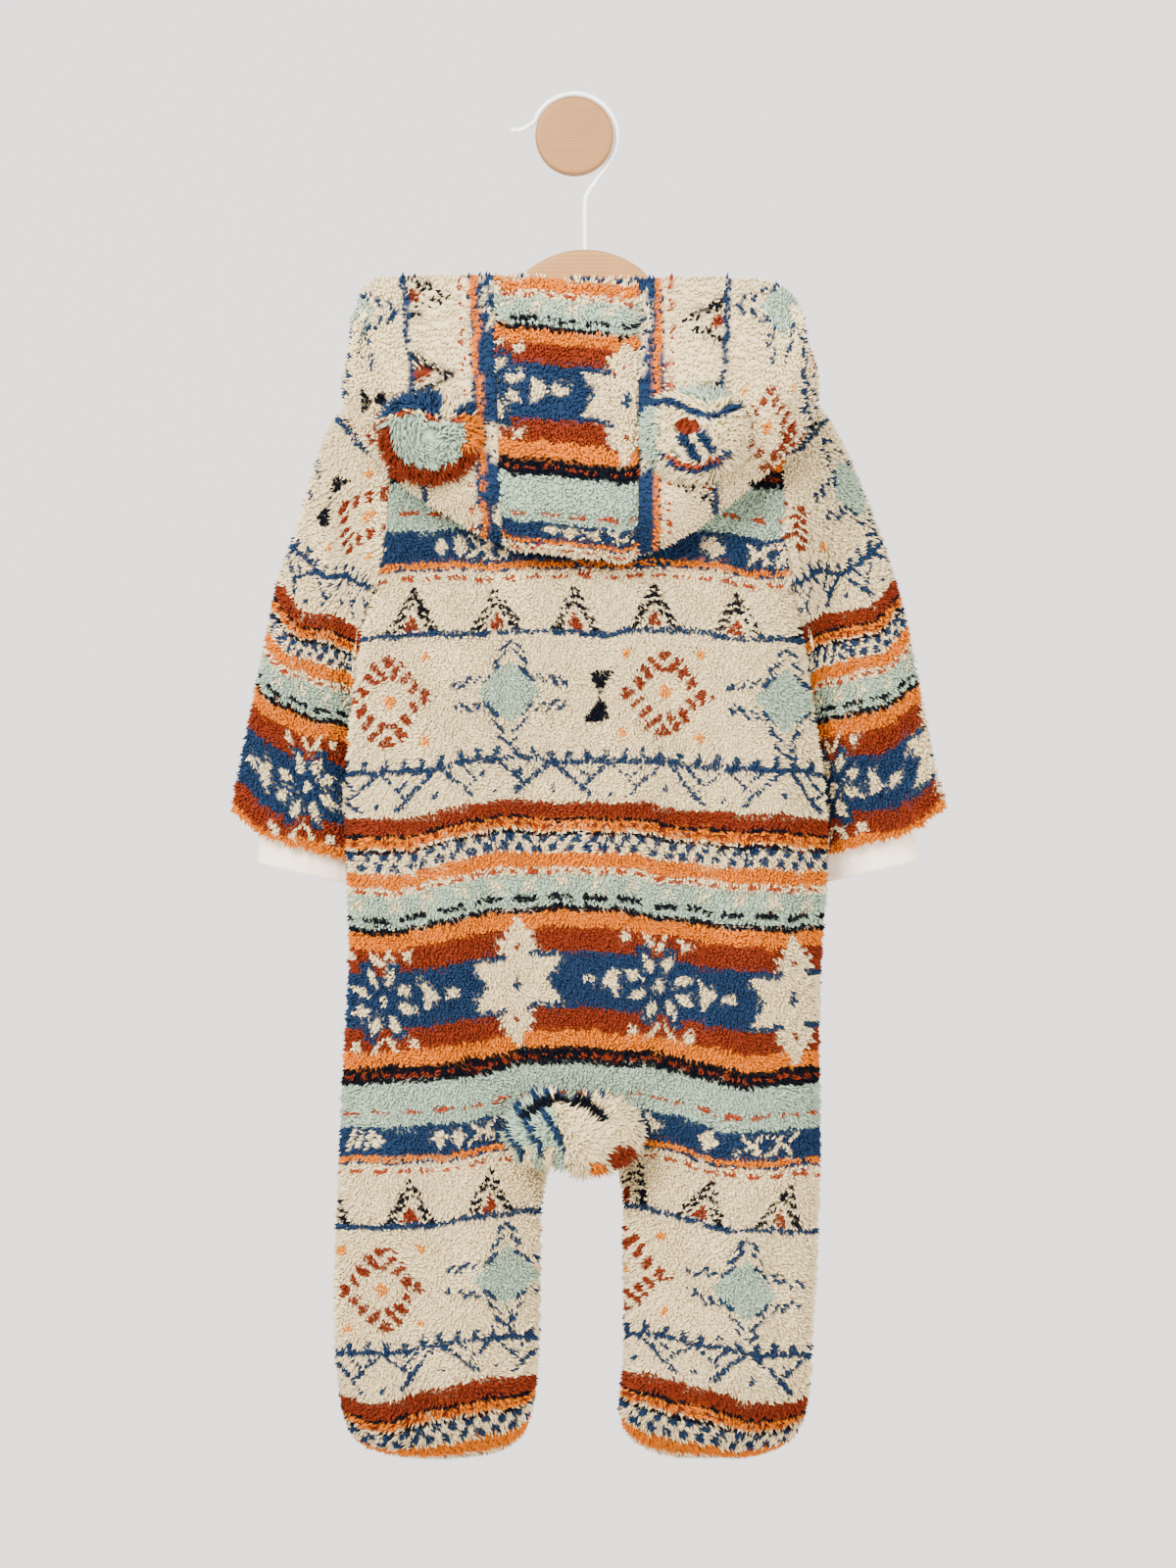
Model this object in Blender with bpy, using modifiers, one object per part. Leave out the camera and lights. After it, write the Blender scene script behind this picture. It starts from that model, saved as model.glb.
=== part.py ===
"""Hooded fleece pramsuit on its wooden hanger and wall peg, seen from its back.

Frame: metres, +Z up. The peg's flat back face lies on the wall plane y = 0 with
its centre at the origin. The suit hangs in front of the wall, so its back faces
-Y and its front faces the wall. Tables are in millimetres; x is measured from
the suit's centre line and "level" along the cloth, which is z until the ankle.
"""

import math

import bmesh
import bpy
import numpy as np
from mathutils import Matrix

MM = 0.001

# Placing
CENTRE_X = 5.4          # centre line of the suit, from the peg's axis
HANG_Y = -52.0          # middle plane of the hanging suit

# Cloth
FLEECE = 3.0            # wall of the fleece, with the dense part of its nap
JERSEY = 1.5            # doubled jersey of the cuffs
SEAM = 0.3              # gap between two pieces at a seam
ROUND = 2.3             # how square the edge of the flat hanging suit turns
BODY_REACH = 44.0       # how far in from its edge the body rounds off
SLEEVE_REACH = 29.0
SLEEVE_DEPTH = 15.0
SLEEVE_SWING = 24.0     # how far the sleeve hangs behind the body, to the wall
SWING_LENGTH = 75.0

# Grid of the panels
COLUMNS = 8             # from side to middle
UPPER_ROWS = 8          # from the shoulder to the underarm
NECK_COLUMN = 4         # column that meets the neck's side
SLEEVE_ROWS = 8

# Neck, shoulder and underarm
NECK_HALF = 52.0
NECK_SIDE = -91.0
NECK_BACK = -97.0
NECK_FRONT = -112.0
NECK_CURVE = 0.8        # 0.5 would be a true ellipse
UNDERARM = -234.0
CROTCH = -513.0

# Ankle and foot
ANKLE = -628.0          # level where the foot begins to turn to the wall
ANKLE_RADIUS = 34.0
ANKLE_TURN = math.radians(62)

# Front lap
LAP = 12.0              # how far each front runs past the middle
LAP_END = -478.0
LAP_STEP = 3.5          # how deep the lower front lies
LAP_RISE = (14.0, 30.0) # from the middle, where the lower front comes up again
STUD_LEVELS = (-124, -192, -260, -328, -396, -464)
STUD_RADIUS = 5.5
STUD_HEIGHT = 2.2
STUD_TAPER = 0.8        # how much smaller a stud's face is than its foot

# Hanger, hook and peg
PEG_RADIUS = 20.0
PEG_LENGTH = 58.0
PEG_SEAT = 14.0         # radius of the peg where it meets the wall
PEG_PROFILE = (
    # distance from the wall, radius
    (0, PEG_SEAT), (8, 14.6), (20, 16.2), (32, 18.4), (42, 19.8), (48, PEG_RADIUS),
    (56.9, PEG_RADIUS), (57.6, PEG_RADIUS - 0.4), (PEG_LENGTH, PEG_RADIUS - 1.1),
)
PEG_SIDES = 48
WIRE = 1.25
HANGER_HALF = 5.5
HANGER_TOP = -58.0
HANGER_EDGE = 3.5       # width of the hanger's rounded edges
HANGER_SHARP = 50       # angle in degrees from which an edge is rounded
# Outline of half the hanger from its top to its tip and back below: x, height.
HANGER_UPPER = (
    (12, -59.6), (22, -63.7), (31, -70.5), (38, -82), (43, -96), (49, -104), (59, -105.5),
    (70, -108.3), (84, -116.7), (95, -125.7), (98.5, -130.5),
)
HANGER_LOWER = ((95, -137), (84, -133.0), (70, -126.5), (52, -119), (30, -112.5), (0, -109.5))
BORE_DEPTH = 15.0       # half the length of the cutter for the hook's hole
BORE_LIFT = 3.0         # its middle above the hanger's top
HOOK_DEPTH = 11.5       # how deep the wire stands in the hanger
# The wire from the hanger up to its turn over the peg, and its free end: x, height.
HOOK_STEM = (
    (CENTRE_X, -48), (CENTRE_X, -36), (CENTRE_X + 0.4, -31), (9.6, -24.5), (13.8, -18.6),
    (17.8, -12.6),
)
HOOK_TURN = (-20, 161, 10)    # first angle, end and step of the turn, in degrees
HOOK_END = [(-23.2, 5.6), (-27.0, 3.4), (-30.6, 3.2)]
HOOK_POINTS = 46

# depth: half the thickness of the hanging suit at a level
DEPTHS = (
    # level, depth
    (-90, 17.0), (-130, 20.5), (-180, 23.5), (-240, 25.5), (-420, 26.0),
    (-500, 24.0), (-580, 21.5), (-640, 21.0), (-665, 18.0), (-690, 14.0),
)
SIDES = (
    # level, left, right
    (-234, -108.0, 106.5), (-250, -112.5, 109.5), (-270, -115.3, 112.4),
    (-301, -119.5, 117.0), (-340, -121.0, 122.0), (-380, -120.5, 122.5),
    (-420, -119.5, 119.5), (-462, -122.0, 118.5), (-513, -124.0, 119.0),
    (-568, -126.5, 117.5), (-611, -127.0, 115.0), (-640, -124.5, 113.5),
    (-655, -122.5, 111.0), (-668, -118.5, 107.0), (-680, -110.0, 98.5),
    (-686, -101.0, 89.5), (-689, -90.0, 79.0),
)
INSEAM = (
    # level, left, right
    (-513, 0.0, 0.0), (-514.5, -8.0, 7.0), (-518, -14.0, 12.5),
    (-524, -18.5, 16.5), (-533, -21.0, 19.0), (-568, -23.5, 20.0),
    (-625, -25.0, 20.5), (-650, -28.0, 18.5), (-668, -33.0, 23.0),
    (-680, -42.0, 33.0), (-686, -51.0, 43.0), (-689, -60.0, 52.0),
)
BODY_LEVELS = (-250, -280, -315, -350, -390, -430, -462, -478, -484, -499)
LEG_LEVELS = (-514.5, -518, -524, -533, -556, -590, -620, -636, -650)
FOOT_LEVELS = (-661, -671, -680, -686, -689)
SLEEVE_OUTER = {
    # x, z from the shoulder's neck end to the hem
    "left": ((-52, -91), (-78, -106.5), (-104, -123.5), (-120, -136), (-130.5, -149),
             (-136.5, -163.5), (-145.5, -194), (-156.5, -225), (-164, -260),
             (-171.5, -296), (-176.5, -321), (-181, -343)),
    "right": ((52, -91), (78, -106), (104, -123), (120, -139), (130, -154),
              (137.5, -170), (145.5, -189), (155.5, -217), (163, -242),
              (169, -270), (174.5, -298), (180, -326), (185, -341)),
}
SHOULDER_POINT = 2      # row of SLEEVE_OUTER where the armhole begins
ARMHOLE = {
    # x, z from the shoulder to the underarm
    "left": ((-104, -123.5), (-100, -150), (-99, -180), (-102, -208), (-108, -234)),
    "right": ((104, -123), (101.5, -150), (101, -180), (102.5, -208), (106.5, -234)),
}
SLEEVE_INNER = {
    # x, z from the underarm to the hem
    "left": ((-108, -234), (-114.8, -248), (-117.3, -262), (-118.0, -280),
             (-117.5, -301), (-115.5, -335), (-114, -370.5)),
    "right": ((106.5, -234), (111.5, -248), (114.0, -262), (115.5, -280),
              (115.5, -301), (116, -335), (116, -368)),
}
SLEEVE_HEM = {
    # x, z from the outer to the inner edge
    "left": ((-181, -343), (-168.5, -354), (-142, -363.5), (-114, -370.5)),
    "right": ((185, -341), (168, -353.5), (142, -361), (116, -368)),
}
CUFF_RINGS = {
    # outer x, outer z, inner x, inner z, depth
    "left": ((-167.5, -352, -120.0, -365, 9.0), (-168.0, -371.5, -118.0, -382.5, 8.5)),
    "right": ((170.5, -351, 122.0, -363, 9.0), (171.0, -370.5, 120.0, -381.5, 8.5)),
}

# Hood. The station runs round the neck: 0 is the middle of the back, 4 the
# neck's side and 8 the front. The hood falls from the neck to its fold, turns
# there, and rises on the outside to the face edge.
HOOD_FOLD = (
    # station, x, z
    (-7.0, -16, -102), (-6.0, -46, -96), (-4.6, -84, -91), (-4.0, -104, -94),
    (-3.5, -122, -112), (-3.1, -123, -134), (-2.7, -110, -160), (-2.3, -87, -183),
    (-2.0, -62, -199), (-1.6, -42, -210), (-0.8, -24, -213), (0.0, -7, -215),
    (0.8, 10, -216.5), (1.6, 27, -216), (2.0, 53, -203), (2.3, 79, -184),
    (2.7, 103, -162), (3.1, 119, -134), (3.5, 115, -110), (4.0, 100, -94),
    (4.6, 82, -91), (6.0, 46, -96), (7.0, 16, -102),
)
HOOD_EDGE = (
    # station, x, y, z
    (-7.0, -22, -23, -95), (-6.0, -58, -31, -86), (-4.6, -98, -54, -82),
    (-4.0, -110, -74, -85), (-3.5, -113, -90, -84), (-3.1, -108, -97, -77),
    (-2.7, -98, -100, -75), (-2.3, -84, -101, -74), (-2.0, -66, -102, -74),
    (-1.6, -46, -102, -74), (-0.8, -27, -102, -75), (0.0, -8, -102, -76),
    (0.8, 10, -102, -76), (1.6, 27, -102, -76), (2.0, 45, -102, -75),
    (2.3, 62, -101, -75), (2.7, 80, -100, -76), (3.1, 96, -96, -78),
    (3.5, 106, -88, -86), (4.0, 104, -73, -87), (4.6, 94, -54, -84),
    (6.0, 58, -31, -86), (7.0, 22, -23, -95),
)
HOOD_SEAM = 1.6         # station of the seam between middle and side
HOOD_FRONT = 6.9        # station where the hood ends at the front
HOOD_INNER_Y = -83.0    # the layer on the suit's back
HOOD_OUTER_Y = -109.0   # the layer that shows
HOOD_TURN = 14.0        # how far above the fold the layers lie apart
HOOD_OPEN = (2.9, 4.6)  # stations between which the two layers become one
HOOD_ROWS = (0, 0.07, 0.14, 0.27, 0.40, 0.46, 0.50, 0.54, 0.60, 0.72, 0.84, 0.93, 1)

# Ears and tail
EARS = {
    # x, z, half width, half height
    "left": (-78.0, -154.5, 24.0, 23.0),
    "right": (55.0, -153.5, 25.0, 24.0),
}
EAR_THICK = 7.0
EAR_RINGS = 4           # rings of points from the middle of an ear to its edge
EAR_AROUND = 16         # points on each ring
EAR_LIE = 0.6           # how far an ear's under layer sinks towards the hood's pile
TAIL_LOBES = (
    # x, y, z, half width, half depth, half height
    (-21.0, -86.0, -504.0, 20.0, 12.0, 19.0),
    (4.0, -88.5, -508.0, 25.0, 14.5, 20.5),
)

COLOURS = {
    # red, green, blue, roughness
    "fleece": (0.80, 0.70, 0.55, 0.95),
    "jersey": (0.86, 0.78, 0.66, 0.9),
    "stud": (0.13, 0.20, 0.33, 0.35),
    "wood": (0.62, 0.44, 0.27, 0.6),
    "wire": (0.86, 0.86, 0.85, 0.4),
}


def smooth(rows, at):
    """Values of a table at the given keys, on a smooth curve through its rows."""
    rows = np.asarray(rows, float)
    order = np.argsort(rows[:, 0])
    keys, values = rows[order, 0], rows[order, 1:]
    slopes = np.gradient(values, keys, axis=0)
    at = np.clip(np.asarray(at, float), keys[0], keys[-1])
    low = np.clip(np.searchsorted(keys, at) - 1, 0, len(keys) - 2)
    span = (keys[low + 1] - keys[low])[..., None]
    t = (at - keys[low])[..., None] / span
    return (
        (2 * t**3 - 3 * t**2 + 1) * values[low]
        + (t**3 - 2 * t**2 + t) * span * slopes[low]
        + (3 * t**2 - 2 * t**3) * values[low + 1]
        + (t**3 - t**2) * span * slopes[low + 1]
    )


def along(points, fractions):
    """Points at the given fractions of the length of a smooth curve."""
    points = np.asarray(points, float)
    steps = np.linalg.norm(np.diff(points, axis=0), axis=1)
    keys = np.concatenate([[0], np.cumsum(steps)])
    table = np.column_stack([keys, points])
    return smooth(table, np.asarray(fractions, float) * keys[-1])


def ease(value, start, end):
    """0 before start, 1 past end, and a soft step between them."""
    t = np.clip((np.asarray(value, float) - start) / (end - start), 0, 1)
    return t * t * (3 - 2 * t)


def unit(vectors):
    """The vectors at length 1."""
    return vectors / np.maximum(np.linalg.norm(vectors, axis=-1, keepdims=True), 1e-12)


class Outline:
    """A closed edge of the flat suit. The cloth lies on its left-hand side."""

    def __init__(self, points, samples=220):
        self.points = along(points, np.linspace(0, 1, samples))
        tangent = unit(np.gradient(self.points, axis=0))
        self.inward = np.column_stack([-tangent[:, 1], tangent[:, 0]])

    def nearest(self, plan):
        """Distance of each point to the edge, and the direction away from it."""
        start, step = self.points[:-1], np.diff(self.points, axis=0)
        offset = plan[:, None] - start
        t = np.clip((offset * step).sum(2) / (step**2).sum(1), 0, 1)
        gap = offset - t[..., None] * step
        length = np.linalg.norm(gap, axis=2)
        best = length.argmin(1)
        row = np.arange(len(plan))
        t, gap, length = t[row, best][:, None], gap[row, best], length[row, best]
        edge = unit(self.inward[best] * (1 - t) + self.inward[best + 1] * t)
        share = ease(length, 0.2, 1.5)[:, None]
        return length, unit(edge * (1 - share) + share * gap / np.maximum(length, 1e-9)[:, None])


def body_edge():
    """The edge down one side, round each foot and between the legs."""
    sides, inseam = np.array(SIDES, float), np.array(INSEAM, float)
    return np.vstack([
        sides[:, [1, 0]],
        inseam[::-1][:, [1, 0]],
        inseam[1:, [2, 0]],
        sides[::-1][:, [2, 0]],
    ])


EDGES = {
    "body": Outline(body_edge(), 900),
    "over_left": Outline(SLEEVE_OUTER["left"]),
    "over_right": Outline(SLEEVE_OUTER["right"][::-1]),
    "under_left": Outline(SLEEVE_INNER["left"][::-1]),
    "under_right": Outline(SLEEVE_INNER["right"]),
}


def rounded(plan, edges, depth, reach):
    """Half thickness of the suit at each point, and its normal's two parts."""
    found = [EDGES[name].nearest(plan) for name in edges]
    lengths = np.array([length for length, _ in found])
    best = lengths.argmin(0)
    row = np.arange(len(plan))
    away = np.array([direction for _, direction in found])[best, row]
    rest = np.clip(1 - lengths[best, row] / reach, 0, 1)
    high = depth * (1 - rest**ROUND) ** (1 / ROUND)
    flat = rest ** (ROUND - 1) / reach
    out = (high / depth) ** (ROUND - 1) / depth
    return high, -away * flat[:, None], out


def hang(plan, high, flat, out, side, swing=0.0):
    """Places points of the flat suit in space. side is 1 on the back, -1 on the front."""
    turn = np.clip((ANKLE - plan[:, 1]) / ANKLE_RADIUS, 0, ANKLE_TURN)
    past = np.maximum(ANKLE - plan[:, 1] - ANKLE_TURN * ANKLE_RADIUS, 0)
    sine, cosine = np.sin(turn), np.cos(turn)
    y = HANG_Y + swing + ANKLE_RADIUS * (1 - cosine) + past * sine
    z = np.maximum(plan[:, 1], ANKLE) - ANKLE_RADIUS * sine - past * cosine
    up = np.column_stack([0 * sine, -sine, cosine])
    rear = np.column_stack([0 * sine, -cosine, -sine])
    place = np.column_stack([plan[:, 0] + CENTRE_X, y, z]) + side * high[:, None] * rear
    normal = flat[:, :1] * [1.0, 0, 0] + flat[:, 1:] * up + side * out[:, None] * rear
    return place, unit(normal)


def shares(points):
    """Share of a line's length reached at each of its points."""
    run = np.linalg.norm(np.diff(points, axis=0), axis=1).cumsum()
    return np.concatenate([[0], run / run[-1]])


def coons(top, bottom, left, right):
    """Grid between four edges. top and bottom run from left to right."""
    rows, columns = len(left), len(top)
    share_x, other_x, share_z = (shares(edge) for edge in (top, bottom, left))
    v = np.repeat(share_z[:, None], columns, 1)[..., None]
    u = ((1 - share_z)[:, None] * share_x + share_z[:, None] * other_x)[..., None]
    ruled_z = (1 - v) * top[None] + v * bottom[None]
    ruled_x = (1 - u) * left[:, None] + u * right[:, None]
    corners = (
        (1 - u) * (1 - v) * top[0] + u * (1 - v) * top[-1]
        + (1 - u) * v * bottom[0] + u * v * bottom[-1]
    )
    return (ruled_z + ruled_x - corners).reshape(rows, columns, 2)


def spread(count):
    """Fractions from 0 to 1, closer together at both ends."""
    return (1 - np.cos(np.linspace(0, math.pi, count + 1))) / 2


def columns_between(outer, inner, sign, lapped):
    """x of a row's points. A lapped front has columns where the lower front rises."""
    x = outer + (inner - outer) * spread(COLUMNS)
    if lapped:
        near = 0.0 if abs(inner) > 1 else sign * LAP_RISE[0] / 2
        x[-4:] = sign * LAP_RISE[1], sign * LAP_RISE[0], near, inner
        x[1:-4] = outer + (x[-4] - outer) * (spread(COLUMNS)[1:-4] / spread(COLUMNS)[-4])
    return x


def panel_plan(side, neck_level, middle, lapped=False):
    """Flat grid of half a body panel, from its side to its middle and down to the toe."""
    sign = -1 if side == "left" else 1
    column = 1 if side == "left" else 2
    reached = spread(COLUMNS)[:NECK_COLUMN + 1] / spread(COLUMNS)[NECK_COLUMN]
    shoulder = along(SLEEVE_OUTER[side][:SHOULDER_POINT + 1], 1 - reached)
    edge = middle(neck_level)
    neck_x = sign * NECK_HALF * np.cos(np.linspace(0, math.pi / 2, COLUMNS - NECK_COLUMN + 1)[1:])
    if lapped:
        neck_x = np.array([sign * LAP_RISE[1], sign * LAP_RISE[0], 0.0, edge])
    neck_z = NECK_SIDE + (neck_level - NECK_SIDE) * (1 - (neck_x / NECK_HALF) ** 2) ** NECK_CURVE
    top = np.vstack([shoulder, np.column_stack([neck_x, neck_z])])
    armhole = along(ARMHOLE[side], spread(UPPER_ROWS))
    bottom_x = columns_between(armhole[-1, 0], middle(UNDERARM), sign, lapped)
    bottom = np.column_stack([bottom_x, 0 * bottom_x + UNDERARM])
    levels = top[-1, 1] + (UNDERARM - top[-1, 1]) * spread(UPPER_ROWS)
    centre = np.column_stack([[middle(level) for level in levels], levels])
    rows = list(coons(top, bottom, armhole, centre))
    for level in BODY_LEVELS + (CROTCH,) + LEG_LEVELS + FOOT_LEVELS:
        outer = smooth([(row[0], row[column]) for row in SIDES], [level])[0, 0]
        inner = middle(level)
        if level < CROTCH:
            inner = smooth([(row[0], row[column]) for row in INSEAM], [level])[0, 0]
        x = columns_between(outer, inner, sign, lapped and level >= CROTCH)
        rows.append(np.column_stack([x, 0 * x + level]))
    return np.array(rows)


def body_surface(plan, side, sink=0.0):
    """Places a grid of the body in space, a seam's half gap off the middle plane."""
    flat_plan = plan.reshape(-1, 2)
    depth = smooth(DEPTHS, flat_plan[:, 1])[:, 0]
    high, flat, out = rounded(flat_plan, ("body", "over_left", "over_right"), depth, BODY_REACH)
    high = high + SEAM / 2 - np.asarray(sink).reshape(-1) * np.ones(len(high))
    place, normal = hang(flat_plan, high, flat, out, side)
    return place.reshape(plan.shape[:2] + (3,)), normal.reshape(plan.shape[:2] + (3,))


def grid_faces(numbers, flip=False):
    """Four-sided faces between the points of a numbered grid."""
    a, b, c, d = numbers[:-1, :-1], numbers[:-1, 1:], numbers[1:, 1:], numbers[1:, :-1]
    corners = (a, d, c, b) if flip else (a, b, c, d)
    return np.stack([x.ravel() for x in corners], 1)


def material(name):
    """The plain material of one finish."""
    found = bpy.data.materials.get(name)
    if found is None:
        red, green, blue, rough = COLOURS[name]
        found = bpy.data.materials.new(name)
        found.use_nodes = True
        shader = found.node_tree.nodes["Principled BSDF"]
        shader.inputs["Base Color"].default_value = (red, green, blue, 1)
        shader.inputs["Roughness"].default_value = rough
        shader.inputs["Metallic"].default_value = 0.0
    return found


def finish(name, mesh, finish_name, collection):
    """Adds a mesh to the suit as a named object with its material."""
    mesh.materials.append(material(finish_name))
    made = bpy.data.objects.new(name, mesh)
    collection.objects.link(made)
    return made


def cloth(name, points, normals, faces, thickness, finish_name, collection):
    """A piece of cloth: its outer face, its inner face moved in, and its cut edges."""
    points, normals = points.reshape(-1, 3), normals.reshape(-1, 3)
    used = np.unique(faces)
    numbers = np.full(len(points), -1)
    numbers[used] = np.arange(len(used))
    faces, points, normals = numbers[faces], points[used], normals[used]
    inner = points - thickness * normals
    edges = np.vstack([faces[:, [i, (i + 1) % 4]] for i in range(4)])
    keys = np.sort(edges, 1) @ [len(points), 1]
    found, counts = np.unique(keys, return_counts=True)
    rim = edges[np.isin(keys, found[counts == 1])]
    walls = np.column_stack([rim[:, 1], rim[:, 0], rim[:, 0] + len(points), rim[:, 1] + len(points)])
    every = np.vstack([faces, faces[:, ::-1] + len(points), walls])
    mesh = bpy.data.meshes.new(name)
    mesh.from_pydata((np.vstack([points, inner]) * MM).tolist(), [], every.tolist())
    shaped = bmesh.new()
    shaped.from_mesh(mesh)
    bmesh.ops.recalc_face_normals(shaped, faces=shaped.faces)
    shaped.to_mesh(mesh)
    shaped.free()
    for polygon in mesh.polygons:
        polygon.use_smooth = True
    return finish(name, mesh, finish_name, collection)


def middle_back(level):
    """The back has no seam down its middle."""
    return 0.0


def middle_front_left(level):
    """The left front runs past the middle as far as the lap goes."""
    return LAP if level >= LAP_END else -SEAM / 2


def middle_front_right(level):
    """The right front runs as far under the left one."""
    return -LAP if level > LAP_END else SEAM / 2


def lap_sink(plan):
    """How far the right front lies under the left one at each point."""
    level = ease(plan[..., 1], -499, -484)
    return LAP_STEP * level * (1 - ease(plan[..., 0], *LAP_RISE))


def make_back(collection):
    """The back: one piece from the neck into both legs, as far as the heels."""
    grids = [panel_plan(side, NECK_BACK, middle_back) for side in ("left", "right")]
    rows = UPPER_ROWS + 1 + len(BODY_LEVELS) + 1 + len(LEG_LEVELS)
    shared = UPPER_ROWS + 1 + len(BODY_LEVELS) + 1
    points, normals, faces, start = [], [], [], 0
    for index, plan in enumerate(grids):
        place, normal = body_surface(plan[:rows], 1)
        place = seam_edges(place, at_heel=True)
        numbers = start + np.arange(rows * (COLUMNS + 1)).reshape(rows, COLUMNS + 1)
        if index:
            numbers[:shared, -1] = np.arange(rows * (COLUMNS + 1)).reshape(rows, -1)[:shared, -1]
        else:
            normal[:shared, -1, 0] = 0
            normal[:shared, -1] = unit(normal[:shared, -1])
        points.append(place.reshape(-1, 3))
        normals.append(normal.reshape(-1, 3))
        faces.append(grid_faces(numbers, flip=bool(index)))
        start += rows * (COLUMNS + 1)
    cloth("back", np.vstack(points), np.vstack(normals), np.vstack(faces), FLEECE, "fleece", collection)


def seam_edges(place, at_heel):
    """The grid with its armhole edge, and its heel's edge, drawn back by half a seam's gap."""
    place = place.copy()
    rows = UPPER_ROWS + 1
    place[:rows, 0] += SEAM / 2 * unit(place[:rows, 1] - place[:rows, 0])
    if at_heel:
        place[-1] += SEAM / 2 * unit(place[-2] - place[-1])
    return place


def make_fronts(collection):
    """The two fronts, which lap over each other and end at the toes."""
    for side, middle in (("left", middle_front_left), ("right", middle_front_right)):
        plan = panel_plan(side, NECK_FRONT, middle, lapped=True)
        sink = lap_sink(plan) if side == "right" else np.zeros(plan.shape[:2])
        place, normal = body_surface(plan, -1, sink)
        place = seam_edges(place, at_heel=False)
        numbers = np.arange(plan.shape[0] * plan.shape[1]).reshape(plan.shape[:2])
        faces = grid_faces(numbers)
        cloth(f"front_{side}", place, normal, faces, FLEECE, "fleece", collection)


def make_soles(collection):
    """The soles, from the heel seam to the toes."""
    first = UPPER_ROWS + 1 + len(BODY_LEVELS) + 1 + len(LEG_LEVELS) - 1
    for side in ("left", "right"):
        plan = panel_plan(side, NECK_BACK, middle_back)[first:]
        place, normal = body_surface(plan, 1)
        place = place.copy()
        place[0] += SEAM / 2 * unit(place[1] - place[0])
        numbers = np.arange(plan.shape[0] * plan.shape[1]).reshape(plan.shape[:2])
        cloth(f"sole_{side}", place, normal, grid_faces(numbers), FLEECE, "fleece", collection)


def sleeve_plan(side, rows):
    """Flat grid of a sleeve: rows from armhole to hem, columns from outer to inner edge."""
    outer = along(SLEEVE_OUTER[side][SHOULDER_POINT:], rows)
    inner = along(SLEEVE_INNER[side], rows)
    armhole = along(ARMHOLE[side], spread(UPPER_ROWS))
    hem = along(SLEEVE_HEM[side], spread(UPPER_ROWS))
    return coons(armhole, hem, outer, inner)


def sleeve_surface(side, rows):
    """Rings of a sleeve in space, round its back from the outer edge and back on its front."""
    plan = sleeve_plan(side, rows)
    flat_plan = plan.reshape(-1, 2)
    steps = np.linalg.norm(np.diff(plan, axis=0), axis=2)
    past = np.concatenate([np.zeros((1, plan.shape[1])), steps.cumsum(0)]).reshape(-1)
    share = ease(past, 0, SWING_LENGTH)
    depth = smooth(DEPTHS, flat_plan[:, 1])[:, 0] * (1 - share) + SLEEVE_DEPTH * share
    reach = BODY_REACH * (1 - share) + SLEEVE_REACH * share
    high, flat, out = rounded(flat_plan, (f"over_{side}", f"under_{side}"), depth, reach)
    high = high + SEAM / 2 * np.clip(high / 2, 0, 1)
    halves = []
    for face in (1, -1):
        place, normal = hang(flat_plan, high, flat, out, face, SLEEVE_SWING * share)
        halves.append([part.reshape(plan.shape[:2] + (3,)) for part in (place, normal)])
    place = np.concatenate([halves[0][0], halves[1][0][:, -2:0:-1]], 1)
    normal = np.concatenate([halves[0][1], halves[1][1][:, -2:0:-1]], 1)
    return place, normal


def ring_faces(rows, around, flip):
    """Faces of a tube of rings."""
    numbers = np.arange(rows * around).reshape(rows, around)
    return grid_faces(np.column_stack([numbers, numbers[:, 0]]), flip)


def make_sleeves(collection):
    """The sleeves, each a tube open at the armhole and the hem."""
    for side in ("left", "right"):
        place, normal = sleeve_surface(side, np.linspace(0, 1, SLEEVE_ROWS + 1))
        place = place.copy()
        place[0] += SEAM * unit(place[1] - place[0])
        faces = ring_faces(*place.shape[:2], flip=side == "right")
        cloth(f"sleeve_{side}", place, normal, faces, FLEECE, "fleece", collection)


def make_cuffs(collection):
    """The jersey cuffs, each sewn inside its sleeve and open at the hand."""
    for side in ("left", "right"):
        place, normal = sleeve_surface(side, np.array([0.0, 0.45, 0.88]))
        rings = [place[2] - (FLEECE + SEAM) * normal[2]]
        angle = np.linspace(0, 2 * math.pi, rings[0].shape[0], endpoint=False)
        for outer_x, outer_z, inner_x, inner_z, depth in CUFF_RINGS[side]:
            share = (1 - np.cos(angle)) / 2
            rings.append(np.column_stack([
                outer_x + (inner_x - outer_x) * share + CENTRE_X,
                HANG_Y + SLEEVE_SWING - depth * np.sin(angle),
                outer_z + (inner_z - outer_z) * share,
            ]))
        table = np.column_stack([[0, 0.5, 1], np.array(rings).reshape(3, -1)])
        place = smooth(table, np.linspace(0, 1, 5)).reshape(5, -1, 3)
        around = np.roll(place, -1, 1) - np.roll(place, 1, 1)
        normal = unit(np.cross(around, np.gradient(place, axis=0)))
        middle = place.mean(1, keepdims=True)
        normal *= np.sign(((place - middle) * normal).sum(2, keepdims=True))
        cloth(f"cuff_{side}", place, normal, ring_faces(*place.shape[:2], flip=False),
              JERSEY, "jersey", collection)


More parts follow.
